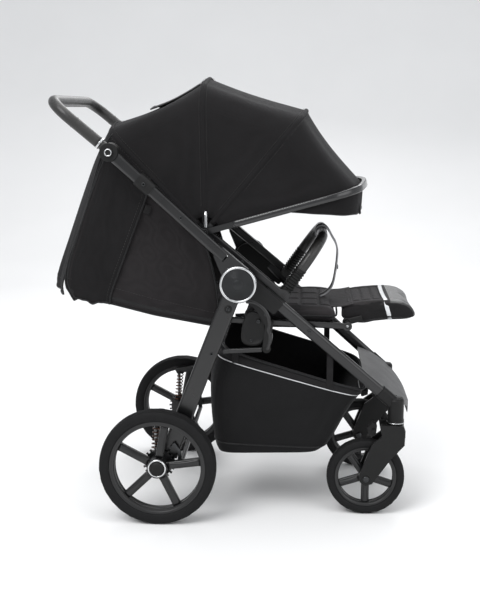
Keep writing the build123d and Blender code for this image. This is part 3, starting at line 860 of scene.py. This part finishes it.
def curtain_side(side, tag):
    """The part of the back curtain that wraps round to the side, over the wing."""
    steps_u, steps_v = 26, 36
    border = rounded([(-12, 806), (-33, 793), (-61, 720), (-92, 640), (-124, 558),
                      (-126, 534)], steps_v + 1, 2)
    outer = rounded([(-128, 925), (-136, 893), (-190, 740), (-246, 592), (-216, 545)],
                    steps_v + 1, 2)
    rows = []
    for j in range(steps_v + 1):
        v = j / steps_v
        row = []
        for i in range(steps_u + 1):
            u = i / steps_u
            x, z = mid(border[j], outer[j], u)
            ease = sin(pi * u)
            fold = 1.6 * sin(u * 8 + v * 5) * ease + 1.2 * sin(v * 23 + u * 4) * ease * v
            z += (3.5 * sin(u * 10) + 1.5 * sin(u * 23)) * smooth((v - 0.93) / 0.07)
            top_x, top_z, top_y = fixed_bow(lerp(188, 321, u), 0)
            keep = smooth(v / 0.16)
            y = lerp(top_y - 1, 190.6 + fold - 5 * smooth((u - 0.75) / 0.25), keep)
            row.append(at(lerp(top_x, x, keep), lerp(top_z, z, keep), side * y))
        rows.append(row)
    cloth = grid("rear_curtain_side_" + tag, rows, "canopy", 1.3)
    area = area_of(cloth) / 2
    lines = {"border": [row[0] for row in rows], "hem": rows[-1], "back": [row[-1] for row in rows]}
    pieces = [sweep("rear_curtain_%s_%s" % (key, tag), line, oval(2.2, None, 10), "piping")
              for key, line in lines.items()]
    inner = [row[2] + Vector((0, side * 0.0010, 0)) for row in rows]
    pieces.append(stitches("rear_curtain_side_seam_" + tag, inner, "thread", 4, 3, 0.4))
    patch = [mid(border[0], border[-1], 0.10), mid(border[0], border[-1], 0.17)]
    tab = sweep("rear_curtain_tab_" + tag, [at(x, z, side * 193) for x, z in
                                           (patch[0], mid(patch[0], patch[1], 0.5), patch[1])],
                strap_section(16, 1.6), "webbing", side=Vector((1, 0, 0.2)))
    pieces.append(tab)
    for piece in [cloth] + pieces:
        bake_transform(piece)
    declare_sheet(cloth, area)


def brackets():
    """Rounded teardrop plates and bent round struts below the hubs."""
    for side, tag in SIDES:
        outline = rounded([(228, 527), (252, 520), (264, 481), (256, 442), (222, 436), (201, 446),
                           (203, 484), (212, 520), (228, 527)], 61, 3)[:-1]
        cx = sum(x for x, z in outline) / len(outline)
        cz = sum(z for x, z in outline) / len(outline)
        rows = []
        for keep, y in ((0.05, 206), (0.97, 206), (1, 207.5), (1, 211.5), (0.96, 213.2), (0.86, 213.5),
                        (0.83, 212.3), (0.5, 212), (0.05, 212)):
            rows.append([at(lerp(cx, x, keep), lerp(cz, z, keep), side * y) for x, z in outline])
        plate = grid("bracket_plate_" + tag, rows, "moulding", wrap=True, close_ends=True)
        strut = [at(x, z, side * 218.6) for x, z in rounded(
            [(214, 552), (240, 548), (265, 526), (272, 498), (267, 482), (275, 465),
             (266, 432)], 60, 3)]
        tube = sweep("bracket_strut_" + tag, strut, oval(7.2, 6.2, 18), "frame", side=ACROSS)
        foot = lathe("bracket_foot_" + tag, [(0.4, 5.8), (7, 5.6), (10, 4), (11, 0), (10, -5), (0.4, -5)],
                     at(264, 433, side * 218.6), "moulding", "Y", 36)
        spacer = lathe("bracket_spacer_" + tag, [(0.4, 0), (9, 0), (9, 21), (0.4, 21)],
                       at(244, 489, side * 195.8 - 10.5), "moulding", "Y", 32)
        ride("front_frame", plate, tube, foot, spacer)
        if side == 1:
            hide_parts("side_brackets")
        screw("bracket_screw_" + tag, at(244, 500, side * 213.6), 5, "front_frame", side)
        screw("bracket_rivet_" + tag, at(226, 452, side * 212.4), 3.6, "front_frame", side)
        for k, (x, z) in enumerate(((262, 519), (271, 474))):
            screw("strut_rivet_%d_%s" % (k, tag), at(x, z, side * 222.8), 3.6, "front_frame", side)


wings = [wing(side, tag) for side, tag in SIDES]
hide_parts("side_wings")
curtain()
for side, tag in SIDES:
    curtain_side(side, tag)


# ---------------------------------------------------------------- cushions
def cushion_form(name, outline, half, look, round_mm=14, pinch=0, count=28):
    """A closed block with a side view outline, rounded sides, ready to be swollen."""
    ring = rounded(outline + [outline[0]], 57, 1)[:-1]
    cx = sum(p[0] for p in ring) / len(ring)
    cz = sum(p[1] for p in ring) / len(ring)
    rows = []
    for i in range(count + 1):
        t = i / count * 2 - 1
        y = half * sin(t * pi / 2)
        near = max(abs(y) - (half - round_mm), 0)
        shrink = round_mm - math.sqrt(max(round_mm ** 2 - near ** 2, 0))
        row = []
        for x, z in ring:
            reach = hypot(x - cx, z - cz)
            keep = max(1 - (shrink + pinch * (1 - abs(t))) / max(reach, shrink + 1), 0.15)
            row.append(at(cx + (x - cx) * keep, cz + (z - cz) * keep, y))
        rows.append(row)
    return grid(name, rows, look, wrap=True, close_ends=True)


def local_x(co):
    return (co.x - ORIGIN.x) * 1000


def seat():
    outline = [(203, 491), (425, 491), (438, 500), (437, 513), (424, 521), (260, 521),
               (203, 517)]
    pad = puff(cushion_form("seat_cushion", outline, 161, "seat", 12), 6)
    top = Vector((0, 0, 1))

    def channels(co):
        x, y = local_x(co), abs(co.y) * 1000
        inner = min(abs(y - 118), abs(y - 40) if x < 392 else 99)
        return min(inner, *[abs(x - s) for s in (248, 296, 344, 392)]) if y < 118 else inner

    sew(pad, channels, 4, 4.5, lambda co, n: n.dot(top) > 0.3)
    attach(pad, "front_frame")
    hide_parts("seat_pad")
    edge = [at(x, z, y) for x, z, y in rounded(
        [(206, 505, -163), (400, 505, -164), (431, 503, -155), (438, 502, -120),
         (438, 502, 120), (431, 503, 155), (400, 505, 164), (206, 505, 163)], 90)]
    piping = cord("seat_cushion_piping", edge, 2.6)
    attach(piping, "front_frame")


def back_frame():
    run = Vector((BACK_END[0] - SEAT_REAR[0], 0, BACK_END[1] - SEAT_REAR[1])).normalized()
    return run, Vector((0, 1, 0)).cross(run)


def back_at(along, y, out):
    run, normal = back_frame()
    return at(SEAT_REAR[0], SEAT_REAR[1], y) + run * (along / 1000) + normal * (out / 1000)


def backrest():
    rows = []
    ring = rounded([(16, -156), (372, -156), (372, 156), (16, 156), (16, -156)], 97, 4)[:-1]
    for i in range(15):
        t = i / 14
        shrink = 9 * (1 - sin(pi * t)) + 2
        level = 12 + 26 * t
        rows.append([back_at(lerp(u, 194, shrink / 170), lerp(v, 0, shrink / 160), level) for u, v in ring])
    pad = puff(grid("backrest_cushion", rows, "seat", wrap=True, close_ends=True), 7)
    run, normal = back_frame()
    base = at(*SEAT_REAR)

    def channels(co):
        along, y = (co - base).dot(run) * 1000, abs(co.y) * 1000
        if y > 112:
            return abs(y - 112)
        return min([abs(along - s) for s in (70, 130, 190, 250, 310)] + [abs(y - 112)])

    sew(pad, channels, 4.5, 4.5, lambda co, n: n.dot(normal) > 0.3)
    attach(pad, "backrest")
    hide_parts("backrest_pad")
    edge = [back_at(u, v, 26) for u, v in rounded(
        [(12, -160), (376, -160), (376, 160), (12, 160)], 100, 4)]
    piping = cord("backrest_piping", edge, 2.6)
    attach(piping, "backrest")


def harness():
    """Two padded shoulder straps with webbing and adjusters."""
    for side, tag in SIDES:
        path = [back_at(a, side * y, o) for a, y, o in rounded(
            [(40, 50, 43.5), (70, 54, 46.5), (200, 62, 47), (300, 62, 46), (312, 62, 38)], 60)]
        webbing = sweep("harness_webbing_" + tag, path, strap_section(22, 2), "webbing",
                        side=ACROSS)
        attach(webbing, "backrest")
        soft = [back_at(a, side * y, o) for a, y, o in rounded(
            [(120, 56, 45), (150, 58, 48), (270, 62, 48), (300, 62, 44)], 44)]

        def section(t):
            swell = 0.55 + 0.45 * math.sqrt(max(sin(pi * min(max(t, 0.02), 0.98)), 0))
            return [(18 * cos(2 * pi * k / 20) * (0.8 + 0.2 * swell), 5 * swell * sin(2 * pi * k / 20))
                    for k in range(20)]
        pad = sweep("harness_pad_" + tag, soft, section, "seat_dark", side=ACROSS)
        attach(pad, "backrest")
        slider = sweep("harness_slider_" + tag,
                       [back_at(88, side * 55 + k, 49) for k in (-15, -8, 0, 8, 15)], oval(7, 2.2, 14),
                       "moulding")
        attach(slider, "backrest")
    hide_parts("shoulder_straps")


def leg_rest():
    """The padded leg rest: quilted top, glossy nose and a reflective stripe round its middle."""
    outline = [(447, 494), (458, 486), (497, 480), (535, 486), (580, 491), (612, 493),
               (634, 494), (637, 500), (634, 508), (622, 523), (600, 532), (556, 534),
               (500, 529), (447, 521)]
    pad = puff(cushion_form("leg_rest_cushion", outline, 128, "seat", 14), 5)

    def channels(co):
        x, y = local_x(co), abs(co.y) * 1000
        if x > 552:
            return 99
        return min(abs(y - 88), *[abs(x - s) for s in (474, 500, 526, 550)]) if y < 88 else abs(y - 88)

    sew(pad, channels, 3, 4, lambda co, n: n.z > 0.3)
    pad.data.materials.append(LOOK["leather"])
    pad.data.materials.append(LOOK["seat_dark"])
    for face in pad.data.polygons:
        x = local_x(face.center)
        if abs(face.normal.y) > 0.75 or face.normal.z < -0.3:
            face.material_index = 2
        elif x > 570:
            face.material_index = 1
    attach(pad, "leg_rest")
    surface = BVHTree.FromPolygons([v.co for v in pad.data.vertices],
                                   [p.vertices for p in pad.data.polygons])
    ring = rounded([(572, 488, 0), (572, 488, -126), (556, 538, -126), (556, 538, 126),
                    (572, 488, 126), (572, 488, 0)], 141, 2)[:-1]
    path = []
    for x, z, y in ring:
        spot, normal, _, _ = surface.find_nearest(at(x, z, y))
        path.append(spot + normal * 0.0007)
    for _ in range(4):
        path = [(a + b * 2 + c) / 4 for a, b, c in zip(path[-1:] + path[:-1], path, path[1:] + path[:1])]
    stripe = sweep("leg_rest_stripe", path, strap_section(10, 1.6), "reflect", side=AHEAD, loop=True)
    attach(stripe, "leg_rest")
    for side, tag in SIDES:
        arm = [at(x, z, side * 128.5) for x, z in rounded(
            [(458, 485), (470, 486), (484, 490), (500, 494)], 20)]
        tab = sweep("leg_rest_arm_" + tag, arm, oval(2.6, 8, 16), "moulding", side=ACROSS)
        pin = lathe("leg_rest_pin_" + tag, [(5, -30), (5, 28), (0.6, 29)],
                    at(*SEAT_FRONT, side * 154), "steel", "Y", 24)
        eye = lathe("leg_rest_eye_" + tag, [(5, -4.5), (10, -4.5), (11, -3), (11, 3), (10, 4.5),
                                            (5, 4.5)], at(*SEAT_FRONT, side * 128.5), "moulding", "Y", 36,
                    True)
        ride("leg_rest", tab, pin, eye)
    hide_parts("leg_rest")
    bridge_rows = []
    for j in range(17):
        t = j / 16
        x, z = track(rounded([(412, 519), (432, 523), (454, 524), (478, 529)], 17), t)
        bridge_rows.append([at(x, z - 1.6 * sin(pi * t) * abs(cos(i * 0.9)), lerp(-124, 124, i / 40))
                            for i in range(41)])
    bridge = grid("seat_bridge_cloth", bridge_rows, "seat", 1.4)
    area = area_of(bridge) / 2
    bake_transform(bridge)
    declare_sheet(bridge, area)


def crotch():
    """The webbing from the seat to the bumper bar, with light edges and a snap buckle."""
    path = rounded([(396, 528), (412, 536), (425, 550), (433, 575), (440.5, 640), (437, 665),
                    (424, 686), (416, 702), (405, 714), (392, 714), (382, 704), (382, 690),
                    (389, 682)], 90)
    strap = sweep("crotch_webbing", [at(x, z) for x, z in path], strap_section(36, 3), "webbing",
                  side=ACROSS)
    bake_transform(strap)
    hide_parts("crotch_strap")
    for side, tag in SIDES:
        line = [at(x, z, side * 18.4) for x, z in path]
        edge = sweep("crotch_edge_" + tag, line, oval(2.2, None, 8), "edge")
        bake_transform(edge)
    press = lathe("crotch_snap", [(0.4, -1.2), (6, -1), (6.8, 0.4), (5.4, 1.8), (0.4, 2.4)],
                  at(436.6, 600), "steel", "Y", 28)
    press.data.transform(Matrix.Translation(at(440.4, 604)) @ Matrix.Rotation(-pi / 2, 4, "Z") @
                         Matrix.Translation(-at(436.6, 600)))
    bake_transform(press)


seat()
backrest()
harness()
leg_rest()
crotch()


# ---------------------------------------------------------------- bumper bar and grip
def bar_path(start, end, half, corner, count=160):
    """The U of a bar: up one side, across and down the other, with round corners."""
    run = hypot(end[0] - start[0], end[1] - start[1])
    flat = [(-half, 0)]
    for k in range(9):
        a = radians(90 * k / 8)
        flat.append((-half + corner - corner * cos(a), run - corner + corner * sin(a)))
    flat += [(-y, u) for y, u in reversed(flat)]
    points = []
    for i in range(count):
        y, u = track(flat, i / (count - 1))
        points.append(at(lerp(start[0], end[0], u / run), lerp(start[1], end[1], u / run), y))
    return points


def part_of(path, low, high, count):
    run = [tuple(p) for p in path]
    return [Vector(track(run, lerp(low, high, k / (count - 1)))) for k in range(count)]


def bumper():
    path = bar_path(BUMPER, BUMPER_TOP, BUMPER_HALF, BUMPER_CORNER)
    cover = sweep("bumper_cover", part_of(path, 0.115, 0.885, 150), oval(13.6, None, 24), "leather")
    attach(cover, "bumper")
    seam = [p + Vector((-0.004, 0, -0.0130)) for p in part_of(path, 0.25, 0.75, 90)]
    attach(stitches("bumper_seam", seam, "thread", 4, 3, 0.6), "bumper")
    for low, high, tag in ((0.012, 0.12, "right"), (0.988, 0.88, "left")):
        def ribs(t):
            wave = 14.4 + 1.3 * cos(t * 2 * pi * 9) - 1.5 * smooth((t - 0.9) / 0.1)
            return oval(wave, None, 24)
        sleeve = sweep("bumper_sleeve_" + tag, part_of(path, low, high, 110), ribs, "moulding")
        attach(sleeve, "bumper")
        end = part_of(path, lerp(low, high, 0.98), lerp(low, high, 1.06), 6)
        ring = sweep("bumper_ring_" + tag, end, oval(14.6, None, 28), "moulding")
        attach(ring, "bumper")


def grip():
    path = bar_path(KNUCKLE, GRIP_END, GRIP_HALF, GRIP_CORNER, 240)
    cover = sweep("grip_cover", part_of(path, 0.045, 0.955, 230), oval(14, None, 26), "grip")
    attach(cover, "grip")
    for low, tag in ((0.036, "right"), (0.96, "left")):
        ring = sweep("grip_end_ring_" + tag, part_of(path, low, low + 0.006, 5), oval(14.4, None, 28),
                     "chrome")
        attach(ring, "grip")
    for low, tag in ((0.135, "right"), (0.862, "left")):
        ring = sweep("grip_seam_ring_" + tag, part_of(path, low, low + 0.003, 5), oval(14.7, None, 28),
                     "grip")
        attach(ring, "grip")
    under = [p + Vector((0.006, 0, -0.0127)) for p in part_of(path, 0.07, 0.93, 200)]
    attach(stitches("grip_seam", under, "thread", 4.2, 3.2, 0.5), "grip")


bumper()
grip()


# ---------------------------------------------------------------- metalwork
def ring_of(name, inner, outer, low, high, centre, look, segments=64, body=None, soft=0.8):
    profile = [(inner, low), (outer - soft, low), (outer, low + soft), (outer, high - soft),
               (outer - soft, high), (inner, high)]
    obj = lathe(name, profile, centre, look, "Y", segments, True)
    if body:
        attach(obj, body)
    return obj


def hub_cover(side, tag):
    """The round cover of the main pivot: turned rings in a bright bevel."""
    profile = [(0.5, 7.2), (12, 7), (13, 6.2), (14, 7)]
    for k in range(8):
        r = 16 + 2.6 * k
        profile += [(r, 6.9 - 0.15 * k), (r + 1.2, 6.1 - 0.15 * k), (r + 2.2, 6.9 - 0.15 * k)]
    profile += [(38.4, 5.2), (38.4, 0.4), (0.5, 0.4)]
    disc = lathe("hub_disc_" + tag, mirrored(profile, side), at(*PIVOT, side * 260.2), "hub", "Y", 96)
    bevel = lathe("hub_bevel_" + tag, [(38.2, side * 0.4), (44.6, side * 0.4), (45, side * 2),
                                       (43.4, side * 6.4), (41, side * 7.8), (38.2, side * 6.6)],
                  at(*PIVOT, side * 260.2), "chrome", "Y", 96, True)
    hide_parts("hub_cap_" + tag)
    ride("handle", disc, bevel)


def screw(name, point, radius, body, side, look="bolt", deep=2.4):
    """A socket-head screw or rivet that faces outwards."""
    profile = [(0.3, -0.2), (radius * 0.42, -0.2), (radius * 0.46, 0.9), (radius * 0.8, deep),
               (radius, deep * 0.55), (radius, -3), (0.3, -3)]
    obj = lathe(name, mirrored(profile, side), point, look, "Y", 24)
    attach(obj, body)


def fasteners():
    for side, tag in SIDES:
        for name, spot, out, radius, body, *kind in (
                ("leg_screw_upper", (264, 567), 221.6, 6, "front_frame"),
                ("leg_screw_lower", (368, 475.7), 210.6, 5, "front_frame"),
                ("rear_leg_bolt", (172, 534.5), 240.2, 9.5, "rear_frame", "moulding", 1.6),
                ("rear_leg_bolt_head", (172, 534.5), 240.6, 5.2, "rear_frame"),
                ("rear_leg_rivet", (131, 423), 240.2, 4.2, "rear_frame"),
                ("tube_rivet", mid(KNUCKLE, TUBE_LOW, 0.30), 263.2, 4.4, "fold_trigger"),
                ("tube_screw", mid(KNUCKLE, TUBE_LOW, 0.62), 260.2, 3.8, "handle"),
                ("rail_rivet", mid((312, 553.4), HOOD, 0.55), 200.7, 4.2, "front_frame"),
                ("hood_pivot", HOOD, 225.4, 8.6, "front_frame", "moulding", 2),
                ("hood_rivet", HOOD, 226.2, 4.4, "front_frame")):
            screw(name + "_" + tag, at(*spot, side * out), radius, body, side, *kind)
        ring_of("knuckle_ring_" + tag, 6.6, 8.6, side * 0.2, side * 1.5, at(*KNUCKLE, side * 268), "chrome",
                64, "grip_button_" + tag, side * 0.4)
        for z, name in ((240.6, "low"), (301.4, "top")):
            wide = 21.6 if name == "low" else 17
            ring = lathe("caster_ring_%s_%s" % (name, tag), [(wide - 2.4, -1.2), (wide, -1.2),
                                                             (wide + 0.5, 0), (wide, 1.2),
                                                             (wide - 2.4, 1.2)],
                         at(CASTER_X, z, side * CASTER_Y), "chrome" if name == "low" else "moulding", "Z",
                         64, True)
            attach(ring, "front_frame")
        cap = lathe("caster_cap_" + tag, [(0.4, 3.4), (8, 3), (13, 1.6), (15.4, -0.6), (15.4, -2),
                                          (0.4, -2)], at(CASTER_X, 302, side * CASTER_Y), "moulding", "Z",
                    48)
        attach(cap, "front_frame")
        zip_path = [at(HOOD[0] + 2, z, side * 217) for z in (768, 755, 735, 715, 700)]
        pull = sweep("zip_pull_" + tag, zip_path, oval(1.4, 3.2, 12), "chrome", side=ACROSS)
        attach(pull, "front_frame")


def springs():
    low, high = (-12.8, 167.5), (-4.7, 251)
    for side, tag in SIDES:
        y = side * 233
        count, turns = 260, 8.5
        axis = (at(*high, y) - at(*low, y)).normalized()
        across = Vector((0, 1, 0))
        out = axis.cross(across)
        path = []
        for k in range(count):
            t = k / (count - 1)
            a = 2 * pi * turns * t
            centre = at(*low, y).lerp(at(*high, y), t)
            path.append(centre + (across * cos(a) + out * sin(a)) * 0.0088)
        coil = sweep("spring_coil_" + tag, path, oval(1.5, None, 10), "copper")
        rod = lathe("spring_rod_" + tag, [(4.6, -41), (4.6, 41)], at(*mid(low, high, 0.5), y), "steel",
                    "Z", 20)
        lower = lathe("spring_seat_low_" + tag, [(0.5, -3), (11, -3), (12, -1), (11, 2), (0.5, 2)],
                      at(*low, y), "moulding", "Z", 36)
        upper = lathe("spring_seat_high_" + tag, [(0.5, -2), (11, -2), (12, 0), (10, 3), (0.5, 3)],
                      at(*high, y), "moulding", "Z", 36)
        ride("rear_frame", coil, rod, lower, upper)
    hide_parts("suspension_springs")


def tyre(name, centre, radius, inner, width, body, node, grooves):
    """A tyre with a crowned tread, grooves and shoulder blocks."""
    half = width / 2
    profile = [(inner + 0.2, -half + 6.5), (inner + 0.8, -half + 3), (inner + 4, -half + 0.9),
               (lerp(inner, radius, 0.45), -half), (radius - 5.5, -half + 0.6), (radius - 2.6, -half + 2.8)]
    steps = 40
    for k in range(steps + 1):
        y = lerp(-half + 4.5, half - 4.5, k / steps)
        r = radius - 0.2 - 2.2 * (y / half) ** 2
        for g in grooves:
            r -= 1.5 * math.exp(-((y - g) / 0.9) ** 4)
        profile.append((r, y))
    profile += [(r, -y) for r, y in reversed(profile[:6])]
    segments = 180
    rows = []
    for index, (r, y) in enumerate(profile):
        row = []
        for k in range(segments):
            a = 2 * pi * k / segments
            cut = 0
            if 5 < index < 12 or len(profile) - 12 < index < len(profile) - 5:
                cut = 1.1 if (k // 3) % 2 else 0
            row.append(centre + Vector(((r - cut) * cos(a) / 1000, y / 1000, (r - cut) * sin(a) / 1000)))
        rows.append(row)
    rows.append([p.copy() for p in rows[0]])
    obj = weld(grid(name, rows, "tyre", wrap=True))
    outward(obj)
    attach(obj, body)
    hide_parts(node)


def wheels():
    for side, tag in SIDES:
        rear, front = at(0, AXLE_Z, side * REAR_Y), at(*FRONT_AXLE, side * CASTER_Y)
        tyre("tyre_rear_" + tag, rear, REAR_RADIUS, REAR_RIM, REAR_WIDTH, "rear_wheel_" + tag,
             "rear_tyre_" + tag, (-7.5, 0, 7.5))
        tyre("tyre_front_" + tag, front, FRONT_RADIUS, FRONT_RIM, FRONT_WIDTH, "front_wheel_" + tag,
             "front_tyre_" + tag, (-5.5, 5.5))
        for radius, inner, wide, centre, body, name in (
                (118.6, 107, 15.6, rear, "rear_wheel_" + tag, "rear"),
                (77.4, 68.4, 11.4, front, "front_wheel_" + tag, "front")):
            for face in (1, -1):
                lip = [(radius, face * (wide - 1)), (radius + 1.6, face * (wide + 0.6)),
                       (radius - 1, face * (wide + 1.6)), (radius - 4, face * (wide + 0.4)),
                       (inner, face * wide * 0.8), (inner - 0.4, face * wide * 0.4),
                       (inner + 2, face * wide * 0.3)]
                ring = lathe("rim_lip_%s_%s_%s" % (name, tag, "out" if face * side > 0 else "in"), lip,
                             centre, "rim", "Y", 96, True)
                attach(ring, body)
        cap = [(0.4, 9.6), (8, 9.2), (14, 7.6), (17.6, 5), (18.4, 0), (18.4, -6), (0.4, -6)]
        dome = lathe("rear_hub_cap_" + tag, mirrored(cap, side), at(0, AXLE_Z, side * 288.4), "moulding",
                     "Y", 64)
        ring = lathe("rear_hub_ring_" + tag, mirrored([(18.6, -3), (22.4, -3), (23.4, 0.6), (22, 3.2),
                                                       (19.4, 4), (18.6, 2)], side),
                     at(0, AXLE_Z, side * 288.5), "chrome", "Y", 72, True)
        ride("rear_wheel_" + tag, dome, ring)
        for face in (1, -1):
            small = lathe("front_hub_cap_%s_%s" % (tag, "out" if face * side > 0 else "in"),
                          mirrored([(0.4, 2.4), (5, 2.2), (7.6, 1), (8, -2), (0.4, -2)], face),
                          at(*FRONT_AXLE, side * CASTER_Y + face * 31), "bolt", "Y", 40)
            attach(small, "caster_" + tag)
        for centre, count, turn, r_in, r_out, wide, body, name, y_face in (
                (rear, 5, 8, 26, 107, 7.6, "rear_wheel_" + tag, "rear", 8),
                (front, 5, 54, 18, 69, 5.6, "front_wheel_" + tag, "front", 6)):
            for face in (1, -1):
                for k in range(count):
                    a = radians(turn + 72 * k)
                    path = [centre + Vector((r * cos(a) / 1000,
                                             face * (y_face + 0.0018 * (1 - r / r_out)) / 1000,
                                             r * sin(a) / 1000))
                            for r in [lerp(r_in, r_out, s / 11) for s in range(12)]]

                    def section(t, wide=wide):
                        w = wide * (1.25 - 0.45 * sin(pi * t))
                        return [(w * cos(2 * pi * q / 14), 2.6 * sin(2 * pi * q / 14)) for q in range(14)]
                    rib = sweep("spoke_%s_%s_%s_%d" % (name, tag, "out" if face * side > 0 else "in", k),
                                path, section, "rim", side=Vector((-sin(a), 0, cos(a))))
                    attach(rib, body)


for side, tag in SIDES:
    hub_cover(side, tag)
fasteners()
brackets()
springs()
wheels()


# ---------------------------------------------------------------- basket
def basket():
    """A lofted cloth bag: bulging walls, a sagging floor and a bound rim."""
    rear_wall = rounded([(150, 426), (121, 384), (116, 290), (128, 168), (136, 152)], 33)
    front_wall = rounded([(512, 318), (470, 262), (436, 196), (420, 170), (404, 160)], 33)
    rim_half, per = 193, 120
    rows = []

    def plan_ring(x0, z0, x1, z1, half, shrink, drop):
        cx, length = (x0 + x1) / 2, (x1 - x0) / 2
        flat = []
        for k in range(per):
            a = 2 * pi * k / per
            c, s = cos(a), sin(a)
            power = 2 / 7
            u = math.copysign(abs(c) ** power, c) * shrink
            v = math.copysign(abs(s) ** power, s) * shrink
            x, y = cx + length * u, half * v
            z = lerp(z0, z1, (x - x0) / max(x1 - x0, 1)) - drop
            flat.append((x, z, y))
        return flat

    depth = 30
    for i in range(depth + 1):
        d = i / depth
        back, fore = track(rear_wall, d), track(front_wall, d)
        belly = 3 * sin(pi * d) - 7 * smooth((d - 0.7) / 0.3)
        ring = plan_ring(back[0], back[1], fore[0], fore[1], rim_half - 2 * d + belly, 1, 0)
        row = []
        for k, (x, z, y) in enumerate(ring):
            pull = 1.6 * (1 - d) * (0.5 - 0.5 * cos(k * 2 * pi / per * 8)) * (1 if abs(y) > 150 else 0)
            pore_shade = 1.1 * sin(k * 0.8 + d * 6) * sin(pi * d)
            sag = -1 * (1 - d) * sin(pi * min(max((x - 150) / 340, 0), 1))
            row.append(at(x, z + sag, y - math.copysign(pull + pore_shade, y) if abs(y) > 60 else y))
        rows.append(row)
    back, fore = rear_wall[-1], front_wall[-1]
    for i in range(1, 15):
        t = i / 14
        ring = plan_ring(back[0], back[1], fore[0], fore[1], rim_half - 9, 1 - 0.985 * t,
                         5 * smooth(t * 2))
        rows.append([at(x, z + 0.8 * sin(x * 0.06) * cos(y * 0.05) * (1 - t), y) for x, z, y in ring])
    bag = grid("basket_bag", rows, "basket", 1.8, wrap=True)
    area = area_of(bag) / 2
    top = rows[0]
    pieces = [cord("basket_rim_piping", top, 3.2, loop=True)]
    line = [rows[3][k] + Vector((0, math.copysign(0.0014, rows[3][k].y), 0)) for k in range(per)]
    pieces.append(sweep("basket_reflective_line", line, oval(1.3, None, 8), "reflect", loop=True))
    band = [rows[2][k].lerp(rows[1][k], 0.3) + Vector((0, math.copysign(0.0009, rows[2][k].y), 0))
            for k in range(per)]
    pieces.append(sweep("basket_border_band", band, strap_section(14, 2), "webbing",
                        side=Vector((0.25, 0, 1)), loop=True))
    low = [rows[depth - 3][k] + Vector((0, math.copysign(0.0008, rows[depth - 3][k].y), 0))
           for k in range(per)]
    pieces.append(cord("basket_floor_piping", low, 2.2, 8, loop=True))
    for piece in [bag] + pieces:
        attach(piece, "front_frame")
        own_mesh(piece)
    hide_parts("basket")
    declare_sheet(bag, area)
    for side, tag in SIDES:
        for x, z, top_z, y_top, name in ((186, 412, 428, 214, "rear"), (420, 345, 432, 192, "front")):
            path = rounded([(x, z - 22, side * 194), (x, z, side * 195.5), (x, lerp(z, top_z, 0.6),
                                                                            side * lerp(195, y_top, 0.5)),
                            (x, top_z, side * y_top)], 24)
            loop = sweep("basket_strap_%s_%s" % (name, tag), [at(*p) for p in path], strap_section(16, 1.8),
                         "webbing", side=AHEAD)
            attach(loop, "front_frame")


basket()


# ---------------------------------------------------------------- looks of the carried-over nodes
slot_of_node = {entry["node"]: entry["material_slot"] for entry in frame["record"]["subparts"]}
for name, node in frame["nodes"].items():
    look = LOOK[LOOK_OF_SLOT[slot_of_node[name]]]
    node.data.materials.clear()
    node.data.materials.append(look)


# ---------------------------------------------------------------- studio
def studio():
    floor_look = Graph("studio_floor")
    floor_look.shader.inputs["Roughness"].default_value = 0.9
    grain = floor_look.noise(400, 2)
    floor_look.put(floor_look.shader.inputs["Base Color"],
                   floor_look.mix(grain, (0.80, 0.80, 0.80, 1), (0.84, 0.84, 0.84, 1)))
    mesh = bpy.data.meshes.new("studio_floor")
    points, faces = [], []
    for k in range(25):
        y = -6 + 0.5 * k
        rise = max(y - 3, 0)
        for x in (-9, 9):
            points.append((x, y, 0.35 * rise * rise))
        if k:
            faces.append((2 * k - 2, 2 * k - 1, 2 * k + 1, 2 * k))
    mesh.from_pydata(points, [], faces)
    mesh.materials.append(floor_look.material)
    mesh.polygons.foreach_set("use_smooth", [True] * len(faces))
    floor = bpy.data.objects.new("studio_floor", mesh)
    SCENE.collection.objects.link(floor)
    for name, spot, power, size in (("key", (-1.6, -2.6, 3.4), 112, 2.2), ("fill", (2.8, -2.2, 2), 42, 2.8),
                                    ("rim", (0.4, 2.8, 3), 60, 2.4), ("top", (0, -0.2, 4.2), 60, 3.2)):
        data = bpy.data.lights.new(name, "AREA")
        data.energy = power
        data.size = size
        lamp = bpy.data.objects.new(name, data)
        lamp.location = spot
        lamp.rotation_euler = (Vector((0, 0, 0.5)) - Vector(spot)).to_track_quat("-Z", "Y").to_euler()
        SCENE.collection.objects.link(lamp)
    world = bpy.data.worlds.new("studio")
    world.use_nodes = True
    world.node_tree.nodes["Background"].inputs["Color"].default_value = (0.95, 0.97, 1, 1)
    world.node_tree.nodes["Background"].inputs["Strength"].default_value = 0.62
    SCENE.world = world
    data = bpy.data.cameras.new("view")
    data.lens = 60.82
    data.sensor_width = 36
    camera = bpy.data.objects.new("view", data)
    camera.location = (ORIGIN.x + 0.35417, -2.6301, 1.0115)
    camera.rotation_euler = (pi / 2 - 0.187196, 0, 0.064143)
    SCENE.collection.objects.link(camera)
    SCENE.camera = camera
    SCENE.view_settings.view_transform = "Standard"


studio()

print("SHEETS", SHEET_SIZES)
